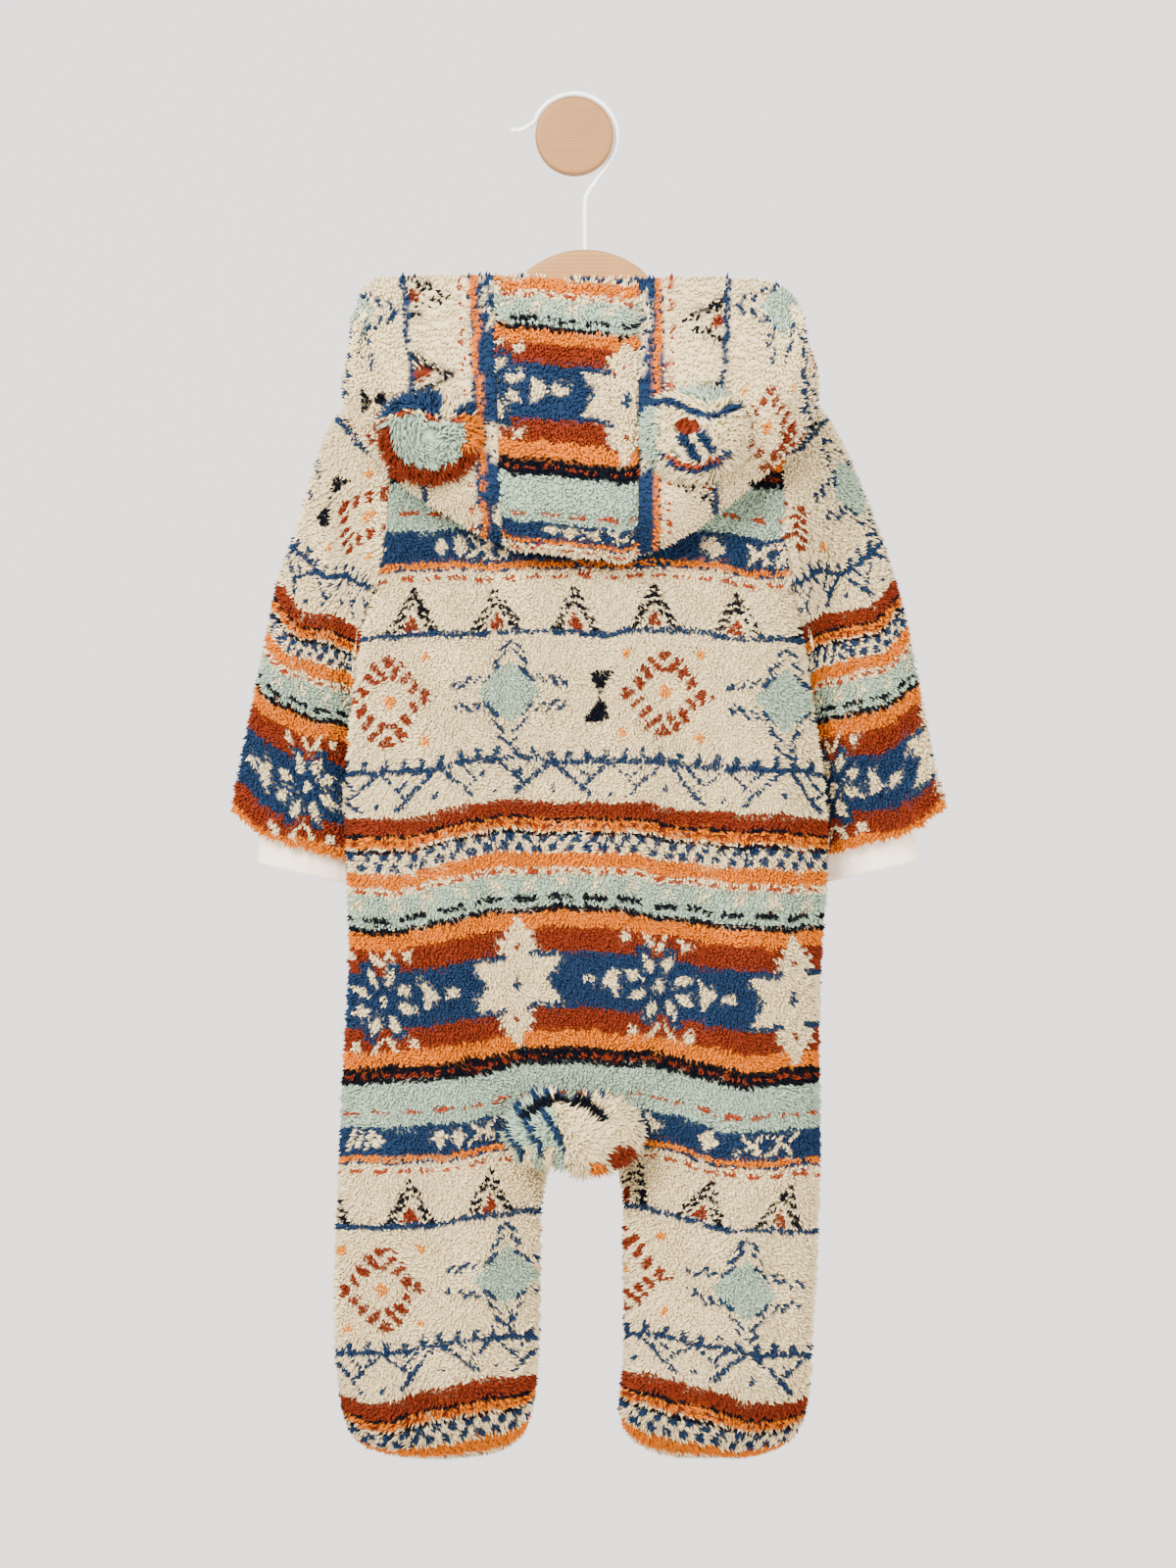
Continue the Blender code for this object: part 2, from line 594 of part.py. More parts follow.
def neck_ring(station):
    """Point on the neck's edge at each station, on the straight runs between its grid points."""
    points, keys = [], []
    middles = {"left": middle_front_left, "right": middle_front_right}
    for side, sign in (("left", -1), ("right", 1)):
        back, _ = body_surface(panel_plan(side, NECK_BACK, middle_back)[:1], 1)
        plan = panel_plan(side, NECK_FRONT, middles[side], lapped=True)[:1]
        front, _ = body_surface(plan, -1, lap_sink(plan) if side == "right" else 0.0)
        for place, first, last in ((back[0], 4.0, 0.0), (front[0], 4.0, 8.0)):
            part = place[NECK_COLUMN:]
            points.append(part)
            keys.append(sign * np.linspace(first, last, len(part)))
    keys, points = np.concatenate(keys), np.vstack(points)
    keys, first = np.unique(keys, return_index=True)
    points = points[first]
    points[np.isclose(np.abs(keys), 4), 1] = HANG_Y
    return np.column_stack([np.interp(station, keys, points[:, i]) for i in range(3)])


def hood_surface(stations, rows):
    """Grid of the hood in space, a column for each station, rows from neck to face edge."""
    stations = np.asarray(stations, float)
    neck = neck_ring(stations) + [0, 0, SEAM]
    fold = smooth(HOOD_FOLD, stations)
    edge = smooth(HOOD_EDGE, stations) + [CENTRE_X, 0, 0]
    middle_y = (HOOD_INNER_Y + HOOD_OUTER_Y) / 2
    fold = np.column_stack([fold[:, 0] + CENTRE_X, 0 * stations + middle_y, fold[:, 1]])
    crest = neck + [0, -7, 6]
    half = 0.5 * (crest + fold)
    half[:, 1] = HOOD_INNER_Y
    turn = np.minimum(HOOD_TURN, 0.35 * np.linalg.norm((edge - fold)[:, [0, 2]], axis=1))[:, None]
    turn_in = fold + turn * unit((crest - fold) * [1, 0, 1])
    turn_in[:, 1] = HOOD_INNER_Y - 1
    turn_out = fold + turn * unit((edge - fold) * [1, 0, 1])
    turn_out[:, 1] = HOOD_OUTER_Y + 1
    high = 0.5 * (fold + edge)
    high[:, 1] = HOOD_OUTER_Y
    guides = np.array([neck, crest, half, turn_in, fold, turn_out, high, edge])
    steps = np.linspace(0, 1, len(guides))[:, None, None]
    straight = neck + (edge - neck) * steps
    rise = np.column_stack([0 * stations, 5 * ease(np.abs(stations), 4, 5.5), 0 * stations + 5])
    straight = straight + rise * np.array([0, 1, 0.8, 0.6, 0.5, 0.4, 0.2, 0])[:, None, None]
    single = ease(np.abs(stations), *HOOD_OPEN)[None, :, None]
    guides = guides * (1 - single) + straight * single
    keys = np.array([0, 0.09, 0.27, 0.43, 0.5, 0.57, 0.77, 1])
    table = np.column_stack([keys, guides.reshape(len(guides), -1)])
    return smooth(table, rows).reshape(len(rows), len(stations), 3)


def with_normals(surface, stations, rows, step=0.02):
    """Grid of a surface with its normals, which do not depend on the grid."""
    place = surface(stations, rows)
    rows, stations = np.asarray(rows, float), np.asarray(stations, float)
    low, high = np.clip(rows - step / 4, 0, 1), np.clip(rows + step / 4, 0, 1)
    down = surface(stations, high) - surface(stations, low)
    across = surface(stations + step, rows) - surface(stations - step, rows)
    return place, unit(np.cross(across, down))


def make_hood(collection):
    """The hood's middle strip and its two sides."""
    seam = HOOD_SEAM
    side = np.concatenate([np.linspace(seam, 4.0, 9), np.linspace(4.0, HOOD_FRONT, 6)[1:]])
    parts = {
        "hood_side_left": -side[::-1],
        "hood_middle": np.linspace(-seam, seam, 7),
        "hood_side_right": side,
    }
    for name, stations in parts.items():
        place, normal = with_normals(hood_surface, stations, HOOD_ROWS)
        if np.isclose(abs(stations[0]), seam):
            place[:, 0] += 0.8 * SEAM * unit(place[:, 1] - place[:, 0])
        if np.isclose(abs(stations[-1]), seam):
            place[:, -1] += 0.8 * SEAM * unit(place[:, -2] - place[:, -1])
        numbers = np.arange(place.shape[0] * place.shape[1]).reshape(place.shape[:2])
        cloth(name, place, normal, grid_faces(numbers, flip=True), FLEECE, "fleece", collection)


def make_ears(collection):
    """The ears, each two layers of fleece lying on the hood."""
    stations = np.linspace(-3.0, 3.0, 121)
    surface = hood_surface(stations, np.linspace(0.55, 0.98, 60)).reshape(-1, 3)
    for side, (x, z, half_width, half_height) in EARS.items():
        rings, around = EAR_RINGS, EAR_AROUND
        radius = np.sin(np.linspace(0, math.pi / 2, rings + 1)[1:])[:, None]
        angle = np.linspace(0, 2 * math.pi, around, endpoint=False)
        squash = 1 - 0.16 * ease(np.sin(angle), 0.5, 1)
        plan_x = np.append((x + half_width * radius * np.cos(angle)).ravel(), x) + CENTRE_X
        plan_z = np.append((z + half_height * radius * squash * np.sin(angle)).ravel(), z)
        gap = np.hypot(surface[:, 0] - plan_x[:, None], surface[:, 2] - plan_z[:, None])
        near = np.argsort(gap, 1)[:, :4]
        weight = 1 / (np.take_along_axis(gap, near, 1) + 0.05)
        ground = (surface[near, 1] * weight).sum(1) / weight.sum(1) - EAR_LIE
        bulge = np.append(np.repeat(np.sqrt(1 - radius**2), around, 1).ravel(), 1.0)
        count = rings * around
        under = np.column_stack([plan_x, ground - 1.2 * (1 - bulge), plan_z])
        over = under - EAR_THICK * bulge[:, None] * [0, 1, 0]
        over = np.vstack([over[:count - around], over[count:]])
        ring = np.arange(around)
        following = (ring + 1) % around
        faces = []
        top = len(under) + np.arange((rings - 1) * around).reshape(rings - 1, around)
        top = np.vstack([top, np.arange(count - around, count)])
        base = np.arange(count).reshape(rings, around)
        for inner, outer in zip(range(rings - 1), range(1, rings)):
            faces += np.column_stack([
                base[inner], base[outer], base[outer][following], base[inner][following],
            ]).tolist()
            faces += np.column_stack([
                top[inner][following], top[outer][following], top[outer], top[inner],
            ]).tolist()
        faces += np.column_stack([0 * ring + count, base[0], base[0][following]]).tolist()
        crown = 0 * ring + len(under) + len(over) - 1
        faces += np.column_stack([crown, top[0][following], top[0]]).tolist()
        mesh = bpy.data.meshes.new(f"ear_{side}")
        mesh.from_pydata((np.vstack([under, over]) * MM).tolist(), [], faces)
        shaped = bmesh.new()
        shaped.from_mesh(mesh)
        bmesh.ops.recalc_face_normals(shaped, faces=shaped.faces)
        shaped.to_mesh(mesh)
        shaped.free()
        finish(f"ear_{side}", mesh, "fleece", collection)


def make_tail(collection, cutters):
    """The tail: two soft lobes at the seat."""
    lobes = []
    for index, (x, y, z, width, depth, height) in enumerate(TAIL_LOBES):
        mesh = bpy.data.meshes.new(f"tail_lobe_{index}")
        shaped = bmesh.new()
        bmesh.ops.create_icosphere(shaped, subdivisions=3, radius=1.0)
        for vertex in shaped.verts:
            vertex.co.x = (x + CENTRE_X + width * vertex.co.x) * MM
            vertex.co.y = (y + depth * vertex.co.y) * MM
            vertex.co.z = (z + height * vertex.co.z) * MM
        shaped.to_mesh(mesh)
        shaped.free()
        lobes.append(mesh)
    tail = finish("tail", lobes[0], "fleece", collection)
    guide = bpy.data.objects.new("tail_second_lobe", lobes[1])
    cutters.objects.link(guide)
    guide.hide_render = True
    guide.display_type = "WIRE"
    union = tail.modifiers.new("join_lobes", "BOOLEAN")
    union.operation = "UNION"
    union.solver = "EXACT"
    union.object = guide


def make_studs(collection):
    """The press studs down the front lap."""
    for number, level in enumerate(STUD_LEVELS, 1):
        depth = smooth(DEPTHS, [level])[0, 0]
        place = HANG_Y + depth + SEAM / 2 + 2 * SEAM
        mesh = bpy.data.meshes.new(f"stud_{number}")
        shaped = bmesh.new()
        bmesh.ops.create_cone(shaped, cap_ends=True, segments=16, radius1=STUD_RADIUS * MM,
                              radius2=(STUD_RADIUS - STUD_TAPER) * MM, depth=STUD_HEIGHT * MM)
        bmesh.ops.rotate(shaped, verts=shaped.verts, cent=(0, 0, 0),
                         matrix=Matrix.Rotation(-math.pi / 2, 3, "X"))
        shaped.to_mesh(mesh)
        shaped.free()
        stud = finish(f"stud_{number}", mesh, "stud", collection)
        stud.location = (CENTRE_X * MM, (place + STUD_HEIGHT / 2) * MM, level * MM)
        slope = smooth(DEPTHS, [level + 4, level - 4])[:, 0]
        stud.rotation_euler[0] = math.atan2(slope[1] - slope[0], 8)


def make_hanger(collection, cutters):
    """The wooden hanger and its wire hook."""
    half = [(0, HANGER_TOP), *HANGER_UPPER, *HANGER_LOWER]
    outline = half + [(-x, z) for x, z in half[-2:0:-1]]
    shaped = bmesh.new()
    corners = [shaped.verts.new(((x + CENTRE_X) * MM, (HANG_Y - HANGER_HALF) * MM, z * MM))
               for x, z in outline]
    face = shaped.faces.new(corners)
    grown = bmesh.ops.extrude_face_region(shaped, geom=[face])
    moved = [item for item in grown["geom"] if isinstance(item, bmesh.types.BMVert)]
    bmesh.ops.translate(shaped, verts=moved, vec=(0, 2 * HANGER_HALF * MM, 0))
    bmesh.ops.recalc_face_normals(shaped, faces=shaped.faces)
    mesh = bpy.data.meshes.new("hanger")
    shaped.to_mesh(mesh)
    shaped.free()
    hanger = finish("hanger", mesh, "wood", collection)
    bevel = hanger.modifiers.new("soft_edges", "BEVEL")
    bevel.width = HANGER_EDGE * MM
    bevel.segments = 2
    bevel.limit_method = "ANGLE"
    bevel.angle_limit = math.radians(HANGER_SHARP)

    bore = bpy.data.meshes.new("hook_bore")
    shaped = bmesh.new()
    bmesh.ops.create_cone(shaped, cap_ends=True, segments=16, radius1=(WIRE + SEAM) * MM,
                          radius2=(WIRE + SEAM) * MM, depth=2 * BORE_DEPTH * MM)
    shaped.to_mesh(bore)
    shaped.free()
    cutter = bpy.data.objects.new("hook_bore", bore)
    cutter.location = (CENTRE_X * MM, HANG_Y * MM, (HANGER_TOP + BORE_LIFT) * MM)
    cutter.hide_render = True
    cutter.display_type = "WIRE"
    cutters.objects.link(cutter)
    cut = hanger.modifiers.new("hook_bore", "BOOLEAN")
    cut.operation = "DIFFERENCE"
    cut.solver = "EXACT"
    cut.object = cutter

    # The wire: up from the hanger, out to the right and over the peg.
    ring = PEG_RADIUS + WIRE + 1.7 * SEAM
    route = [(CENTRE_X, HANGER_TOP - HOOK_DEPTH), *HOOK_STEM]
    for degrees in range(*HOOK_TURN):
        turn = math.radians(degrees)
        route.append((ring * math.cos(turn), ring * math.sin(turn)))
    route += HOOK_END
    curve = bpy.data.curves.new("hook", "CURVE")
    curve.dimensions = "3D"
    curve.bevel_depth = WIRE * MM
    curve.bevel_resolution = 2
    curve.use_fill_caps = True
    path = along(route, np.linspace(0, 1, HOOK_POINTS))
    spline = curve.splines.new("POLY")
    spline.points.add(len(path) - 1)
    for point, (x, z) in zip(spline.points, path):
        point.co = (x * MM, HANG_Y * MM, z * MM, 1)
    curve.materials.append(material("wire"))
    hook = bpy.data.objects.new("hook", curve)
    collection.objects.link(hook)
    weld = hook.modifiers.new("weld_caps", "WELD")
    weld.merge_threshold = 0.01 * MM


def make_peg(collection):
    """The wall peg, turned: widest at its flat front and narrower at the wall."""
    profile = [(radius, -distance) for distance, radius in PEG_PROFILE]
    profile = [(0, profile[0][1])] + profile + [(0, profile[-1][1])]
    mesh = bpy.data.meshes.new("wall_peg")
    shaped = bmesh.new()
    line = [shaped.verts.new((radius * MM, y * MM, 0)) for radius, y in profile]
    edges = [shaped.edges.new(pair) for pair in zip(line, line[1:])]
    bmesh.ops.spin(shaped, geom=line + edges, cent=(0, 0, 0), axis=(0, 1, 0),
                   angle=2 * math.pi, steps=PEG_SIDES, use_merge=True)
    bmesh.ops.remove_doubles(shaped, verts=shaped.verts, dist=0.01 * MM)
    bmesh.ops.recalc_face_normals(shaped, faces=shaped.faces)
    shaped.to_mesh(mesh)
    shaped.free()
    finish("wall_peg", mesh, "wood", collection)


def main():
    """Builds the suit on its hanger."""
    for item in list(bpy.data.objects):
        bpy.data.objects.remove(item, do_unlink=True)
    collection = bpy.data.collections.new("fleece_pramsuit")
    cutters = bpy.data.collections.new("cutters")
    bpy.context.scene.collection.children.link(collection)
    bpy.context.scene.collection.children.link(cutters)
    make_back(collection)
    make_fronts(collection)
    make_soles(collection)
    make_sleeves(collection)
    make_cuffs(collection)
    make_hood(collection)
    make_ears(collection)
    make_tail(collection, cutters)
    make_studs(collection)
    make_hanger(collection, cutters)
    make_peg(collection)


main()
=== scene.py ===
"""Hooded fleece pramsuit on a wooden hanger and wall peg, seen from its back.

The frame is the row's: metres, +Z up, the peg's flat back face at the origin and
the suit's back to -Y. Shapes are worked out in millimetres. The cloth is laid out
as a flat suit first: x from its centre line and "level" along the cloth, which is
z until the ankle. The flat suit is then rounded off near its outline and hung up.
"""

import logging
import math
from dataclasses import dataclass, field, replace
from enum import Enum
from typing import Callable, Sequence

import bpy
import numpy as np
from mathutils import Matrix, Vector


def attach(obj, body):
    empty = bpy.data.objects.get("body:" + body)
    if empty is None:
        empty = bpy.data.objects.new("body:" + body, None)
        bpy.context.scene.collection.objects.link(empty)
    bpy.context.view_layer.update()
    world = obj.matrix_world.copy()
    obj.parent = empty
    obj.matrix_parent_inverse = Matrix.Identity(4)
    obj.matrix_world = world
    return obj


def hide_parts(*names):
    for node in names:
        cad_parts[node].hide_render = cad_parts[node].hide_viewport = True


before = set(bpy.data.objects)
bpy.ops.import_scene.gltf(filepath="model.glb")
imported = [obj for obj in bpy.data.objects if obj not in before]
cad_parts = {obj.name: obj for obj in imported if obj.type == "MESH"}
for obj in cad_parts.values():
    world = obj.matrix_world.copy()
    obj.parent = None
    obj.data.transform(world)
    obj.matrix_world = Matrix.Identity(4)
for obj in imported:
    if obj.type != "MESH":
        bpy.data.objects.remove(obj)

LOG = logging.getLogger("pramsuit")
Array, Item, Material = np.ndarray, bpy.types.Object, bpy.types.Material
MM = 0.001
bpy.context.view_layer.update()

CENTRE_X = 5.4
HANG_Y = -52.0
ROUND = 2.3
CLOTH_GAP = 0.15
BODY_REACH = 44.0
SLEEVE_REACH = 29.0
SLEEVE_DEPTH = 15.0
SLEEVE_SWING = 24.0
SWING_LENGTH = 75.0
NECK_HALF = 52.0
NECK_SIDE = -91.0
NECK_BACK = -97.0
NECK_FRONT = -112.0
NECK_CURVE = 0.8
UNDERARM = -234.0
CROTCH = -513.0
ANKLE = -628.0
ANKLE_RADIUS = 34.0
ANKLE_TURN = math.radians(62)
HEEL_SEAM = -650.0
TOE = -689.0
FOOT_ROWS = 16
POINTS_AT_ONCE = 4000
LAP = 12.0
LAP_END = -478.0
LAP_STEP = 3.5
LAP_RISE = (14.0, 30.0)
LAP_FADE = (-499.0, -484.0)
STUD_LEVELS = (-124, -192, -260, -328, -396, -464)

# level, half depth of the hanging suit
DEPTHS = (
    (-90, 17.0), (-130, 20.5), (-180, 23.5), (-240, 25.5), (-420, 26.0), (-500, 24.0), (-580, 21.5),
    (-640, 21.0), (-665, 18.0), (-690, 14.0),
)
# level, left x, right x
SIDES = (
    (-234, -108.0, 106.5), (-250, -112.5, 109.5), (-270, -115.3, 112.4), (-301, -119.5, 117.0),
    (-340, -121.0, 122.0), (-380, -120.5, 122.5), (-420, -119.5, 119.5), (-462, -122.0, 118.5),
    (-513, -124.0, 119.0), (-568, -126.5, 117.5), (-611, -127.0, 115.0), (-640, -124.5, 113.5),
    (-655, -122.5, 111.0), (-668, -118.5, 107.0), (-680, -110.0, 98.5), (-686, -101.0, 89.5),
    (-689, -90.0, 79.0),
)
INSEAM = (
    (-513, 0.0, 0.0), (-514.5, -8.0, 7.0), (-518, -14.0, 12.5), (-524, -18.5, 16.5),
    (-533, -21.0, 19.0), (-568, -23.5, 20.0), (-625, -25.0, 20.5), (-650, -28.0, 18.5),
    (-668, -33.0, 23.0), (-680, -42.0, 33.0), (-686, -51.0, 43.0), (-689, -60.0, 52.0),
)
# x, level from the neck end of the shoulder to the hem
SLEEVE_OUTER = {
    "left": ((-52, -91), (-78, -106.5), (-104, -123.5), (-120, -136), (-130.5, -149),
             (-136.5, -163.5), (-145.5, -194), (-156.5, -225), (-164, -260),
             (-171.5, -296), (-176.5, -321), (-181, -343)),
    "right": ((52, -91), (78, -106), (104, -123), (120, -139), (130, -154),
              (137.5, -170), (145.5, -189), (155.5, -217), (163, -242),
              (169, -270), (174.5, -298), (180, -326), (185, -341)),
}
SHOULDER_POINT = 2
ARMHOLE = {
    "left": ((-104, -123.5), (-100, -150), (-99, -180), (-102, -208), (-108, -234)),
    "right": ((104, -123), (101.5, -150), (101, -180), (102.5, -208), (106.5, -234)),
}
SLEEVE_INNER = {
    "left": ((-108, -234), (-114.8, -248), (-117.3, -262), (-118.0, -280),
             (-117.5, -301), (-115.5, -335), (-114, -370.5)),
    "right": ((106.5, -234), (111.5, -248), (114.0, -262), (115.5, -280),
              (115.5, -301), (116, -335), (116, -368)),
}
SLEEVE_HEM = {
    "left": ((-181, -343), (-168.5, -354), (-142, -363.5), (-114, -370.5)),
    "right": ((185, -341), (168, -353.5), (142, -361), (116, -368)),
}
# outer x, outer z, inner x, inner z, half depth
CUFF_RINGS = {
    "left": ((-167.5, -352, -120.0, -365, 9.0), (-168.0, -371.5, -118.0, -382.5, 8.5)),
    "right": ((170.5, -351, 122.0, -363, 9.0), (171.0, -370.5, 120.0, -381.5, 8.5)),
}
# station, x, z: station 0 is the middle of the back, 4 the neck's side, 8 the front
HOOD_FOLD = (
    (-7.0, -16, -102), (-6.0, -46, -96), (-4.6, -84, -91), (-4.0, -104, -94), (-3.5, -122, -112),
    (-3.1, -123, -134), (-2.7, -110, -160), (-2.3, -87, -183), (-2.0, -62, -199), (-1.6, -42, -210),
    (-0.8, -24, -213), (0.0, -7, -215), (0.8, 10, -216.5), (1.6, 27, -216), (2.0, 53, -203),
    (2.3, 79, -184), (2.7, 103, -162), (3.1, 119, -134), (3.5, 115, -110), (4.0, 100, -94),
    (4.6, 82, -91), (6.0, 46, -96), (7.0, 16, -102),
)
# station, x, y, z
HOOD_EDGE = (
    (-7.0, -22, -23, -95), (-6.0, -58, -31, -86), (-4.6, -98, -54, -82), (-4.0, -110, -74, -85),
    (-3.5, -113, -90, -84), (-3.1, -108, -97, -77), (-2.7, -98, -100, -75), (-2.3, -84, -101, -74),
    (-2.0, -66, -102, -74), (-1.6, -46, -102, -74), (-0.8, -27, -102, -75), (0.0, -8, -102, -76),
    (0.8, 10, -102, -76), (1.6, 27, -102, -76), (2.0, 45, -102, -75), (2.3, 62, -101, -75),
    (2.7, 80, -100, -76), (3.1, 96, -96, -78), (3.5, 106, -88, -86), (4.0, 104, -73, -87),
    (4.6, 94, -54, -84), (6.0, 58, -31, -86), (7.0, 22, -23, -95),
)
HOOD_SEAM = 1.6
HOOD_FRONT = 6.9
HOOD_INNER_Y = -83.0
HOOD_OUTER_Y = -109.0
HOOD_TURN = 14.0
HOOD_OPEN = (2.9, 4.6)
# x, z, half width, half height
EARS = {"left": (-78.0, -154.5, 24.0, 23.0), "right": (55.0, -153.5, 25.0, 24.0)}
EAR_HEIGHT = 10.5
# x, y, z, half width, half depth, half height
TAIL_LOBES = ((-21.0, -86.0, -504.0, 20.0, 12.0, 19.0), (4.0, -88.5, -508.0, 25.0, 14.5, 20.5))


def smooth(rows: Sequence, at: Sequence) -> Array:
    """Values of a table at the given keys, on a cubic curve through its rows.

    Args:
        rows: key and values, a row for each.
        at: the keys asked for.
    Returns:
        The values, a row for each key asked for.
    """
    rows = np.asarray(rows, float)
    rows = rows[np.argsort(rows[:, 0])]
    keys, values = rows[:, 0], rows[:, 1:]
    slopes = np.gradient(values, keys, axis=0)
    at = np.clip(np.asarray(at, float), keys[0], keys[-1])
    low = np.clip(np.searchsorted(keys, at) - 1, 0, len(keys) - 2)
    span = (keys[low + 1] - keys[low])[..., None]
    t = (at - keys[low])[..., None] / span
    return (
        (2 * t**3 - 3 * t**2 + 1) * values[low]
        + (t**3 - 2 * t**2 + t) * span * slopes[low]
        + (3 * t**2 - 2 * t**3) * values[low + 1]
        + (t**3 - t**2) * span * slopes[low + 1]
    )


def along(points: Sequence, fractions: Sequence) -> Array:
    """Points at the given fractions of the length of a smooth curve."""
    points = np.asarray(points, float)
    steps = np.linalg.norm(np.diff(points, axis=0), axis=1)
    keys = np.concatenate([[0], np.cumsum(steps)])
    return smooth(np.column_stack([keys, points]), np.asarray(fractions, float) * keys[-1])


def ease(value: Array, start: float, end: float) -> Array:
    """0 before start, 1 past end, and 3t^2 - 2t^3 between them."""
    t = np.clip((np.asarray(value, float) - start) / (end - start), 0, 1)
    return t * t * (3 - 2 * t)


def unit(vectors: Array) -> Array:
    """The vectors at length 1."""
    return vectors / np.maximum(np.linalg.norm(vectors, axis=-1, keepdims=True), 1e-12)


def spread(count: int) -> Array:
    """Fractions from 0 to 1, a little closer together at both ends."""
    even = np.linspace(0, 1, count + 1)
    return 0.45 * even + 0.55 * (1 - np.cos(math.pi * even)) / 2


def circle(count: int) -> Array:
    """Equal angles once round, from 0."""
    return np.linspace(0, 2 * math.pi, count, endpoint=False)


def lengths(points: Array, axis: int) -> Array:
    """Length run so far along one direction of a grid of points."""
    steps = np.linalg.norm(np.diff(points, axis=axis), axis=-1)
    start = np.zeros_like(np.take(steps, [0], axis))
    return np.concatenate([start, steps.cumsum(axis)], axis)


class Outline:
    """A closed edge of the flat suit. The cloth lies on its left-hand side."""

    def __init__(self, points: Sequence, samples: int) -> None:
        """Samples a smooth curve through the points."""
        self.points = along(points, np.linspace(0, 1, samples))
        tangent = unit(np.gradient(self.points, axis=0))
        self.inward = np.column_stack([-tangent[:, 1], tangent[:, 0]])

    def closest(self, plan: Array) -> tuple[Array, Array, Array, Array]:
        """The step of the edge that lies nearest to each point.

        Args:
            plan: points of the flat suit, a row for each.
        Returns:
            The step's number, the share of it that is passed, the way from there to
            the point and its length.
        """
        start, step = self.points[:-1], np.diff(self.points, axis=0)
        offset = plan[:, None] - start
        t = np.clip((offset * step).sum(2) / (step**2).sum(1), 0, 1)
        gap = offset - t[..., None] * step
        length = np.linalg.norm(gap, axis=2)
        best, row = length.argmin(1), np.arange(len(plan))
        return best, t[row, best][:, None], gap[row, best], length[row, best]

    def onto(self, plan: Array) -> Array:
        """The nearest point of the edge to each point of the flat suit."""
        best, t, _, _ = self.closest(plan)
        return self.points[best] + t * np.diff(self.points, axis=0)[best]

    def nearest(self, plan: Array) -> tuple[Array, Array]:
        """Distance of each point to the edge, and the direction away from it.

        Args:
            plan: points of the flat suit, a row for each.
        Returns:
            The distances and the unit directions.
        """
        parts = np.array_split(plan, max(1, len(plan) // POINTS_AT_ONCE))
        best, t, gap, length = (np.concatenate(part) for part in zip(*map(self.closest, parts)))
        edge = unit(self.inward[best] * (1 - t) + self.inward[best + 1] * t)
        share = ease(length, 0.2, 1.5)[:, None]
        return length, unit(edge * (1 - share) + share * gap / np.maximum(length, 1e-9)[:, None])


def body_edge() -> Array:
    """The edge down one side, round each foot and between the legs."""
    sides, inseam = np.array(SIDES, float), np.array(INSEAM, float)
    return np.vstack([
        sides[:, [1, 0]], inseam[::-1][:, [1, 0]], inseam[1:, [2, 0]], sides[::-1][:, [2, 0]],
    ])


EDGES = {
    "body": Outline(body_edge(), 420),
    "over_left": Outline(SLEEVE_OUTER["left"], 160),
    "over_right": Outline(SLEEVE_OUTER["right"][::-1], 160),
    "under_left": Outline(SLEEVE_INNER["left"][::-1], 120),
    "under_right": Outline(SLEEVE_INNER["right"], 120),
}


def rounded(
    plan: Array, edges: Sequence[str], depth: Array, reach: float | Array,
) -> tuple[Array, Array, Array]:
    """Half thickness h of the suit at each point, and its normal's two parts.

    h = depth * (1 - rest^p)^(1/p), where rest falls from 1 at the outline to 0 at
    the given reach from it, so each edge is a quarter of a superellipse.

    Args:
        plan: points of the flat suit.
        edges: names of the outlines that round it.
        depth: half thickness far from the edge.
        reach: how far in the rounding runs.
    Returns:
        h, the normal's part in the plan and its part out of it.
    """
    found = [EDGES[name].nearest(plan) for name in edges]
    gaps = np.array([length for length, _ in found])
    best = gaps.argmin(0)
    row = np.arange(len(plan))
    away = np.array([direction for _, direction in found])[best, row]
    rest = np.clip(1 - gaps[best, row] / reach, 0, 1)
    high = depth * (1 - rest**ROUND) ** (1 / ROUND)
    flat = rest ** (ROUND - 1) / reach
    out = (high / depth) ** (ROUND - 1) / depth
    return high, -away * flat[:, None], out


def hang(
    plan: Array, high: Array, flat: Array, out: Array,
    side: int, swing: float | Array = 0.0,
) -> tuple[Array, Array]:
    """Places points of the flat suit in space, each foot turned about the ankle.

    Args:
        plan: points of the flat suit.
        high, flat, out: what rounded() gave for them.
        side: 1 on the back, -1 on the front.
        swing: how far behind the hanging plane they lie.
    Returns:
        Places in millimetres and unit normals.
    """
    turn = np.clip((ANKLE - plan[:, 1]) / ANKLE_RADIUS, 0, ANKLE_TURN)
    past = np.maximum(ANKLE - plan[:, 1] - ANKLE_TURN * ANKLE_RADIUS, 0)
    sine, cosine = np.sin(turn), np.cos(turn)
    y = HANG_Y + swing + ANKLE_RADIUS * (1 - cosine) + past * sine
    z = np.maximum(plan[:, 1], ANKLE) - ANKLE_RADIUS * sine - past * cosine
    up = np.column_stack([0 * sine, -sine, cosine])
    rear = np.column_stack([0 * sine, -cosine, -sine])
    place = np.column_stack([plan[:, 0] + CENTRE_X, y, z]) + side * high[:, None] * rear
    normal = flat[:, :1] * [1.0, 0, 0] + flat[:, 1:] * up + side * out[:, None] * rear
    return place, unit(normal)


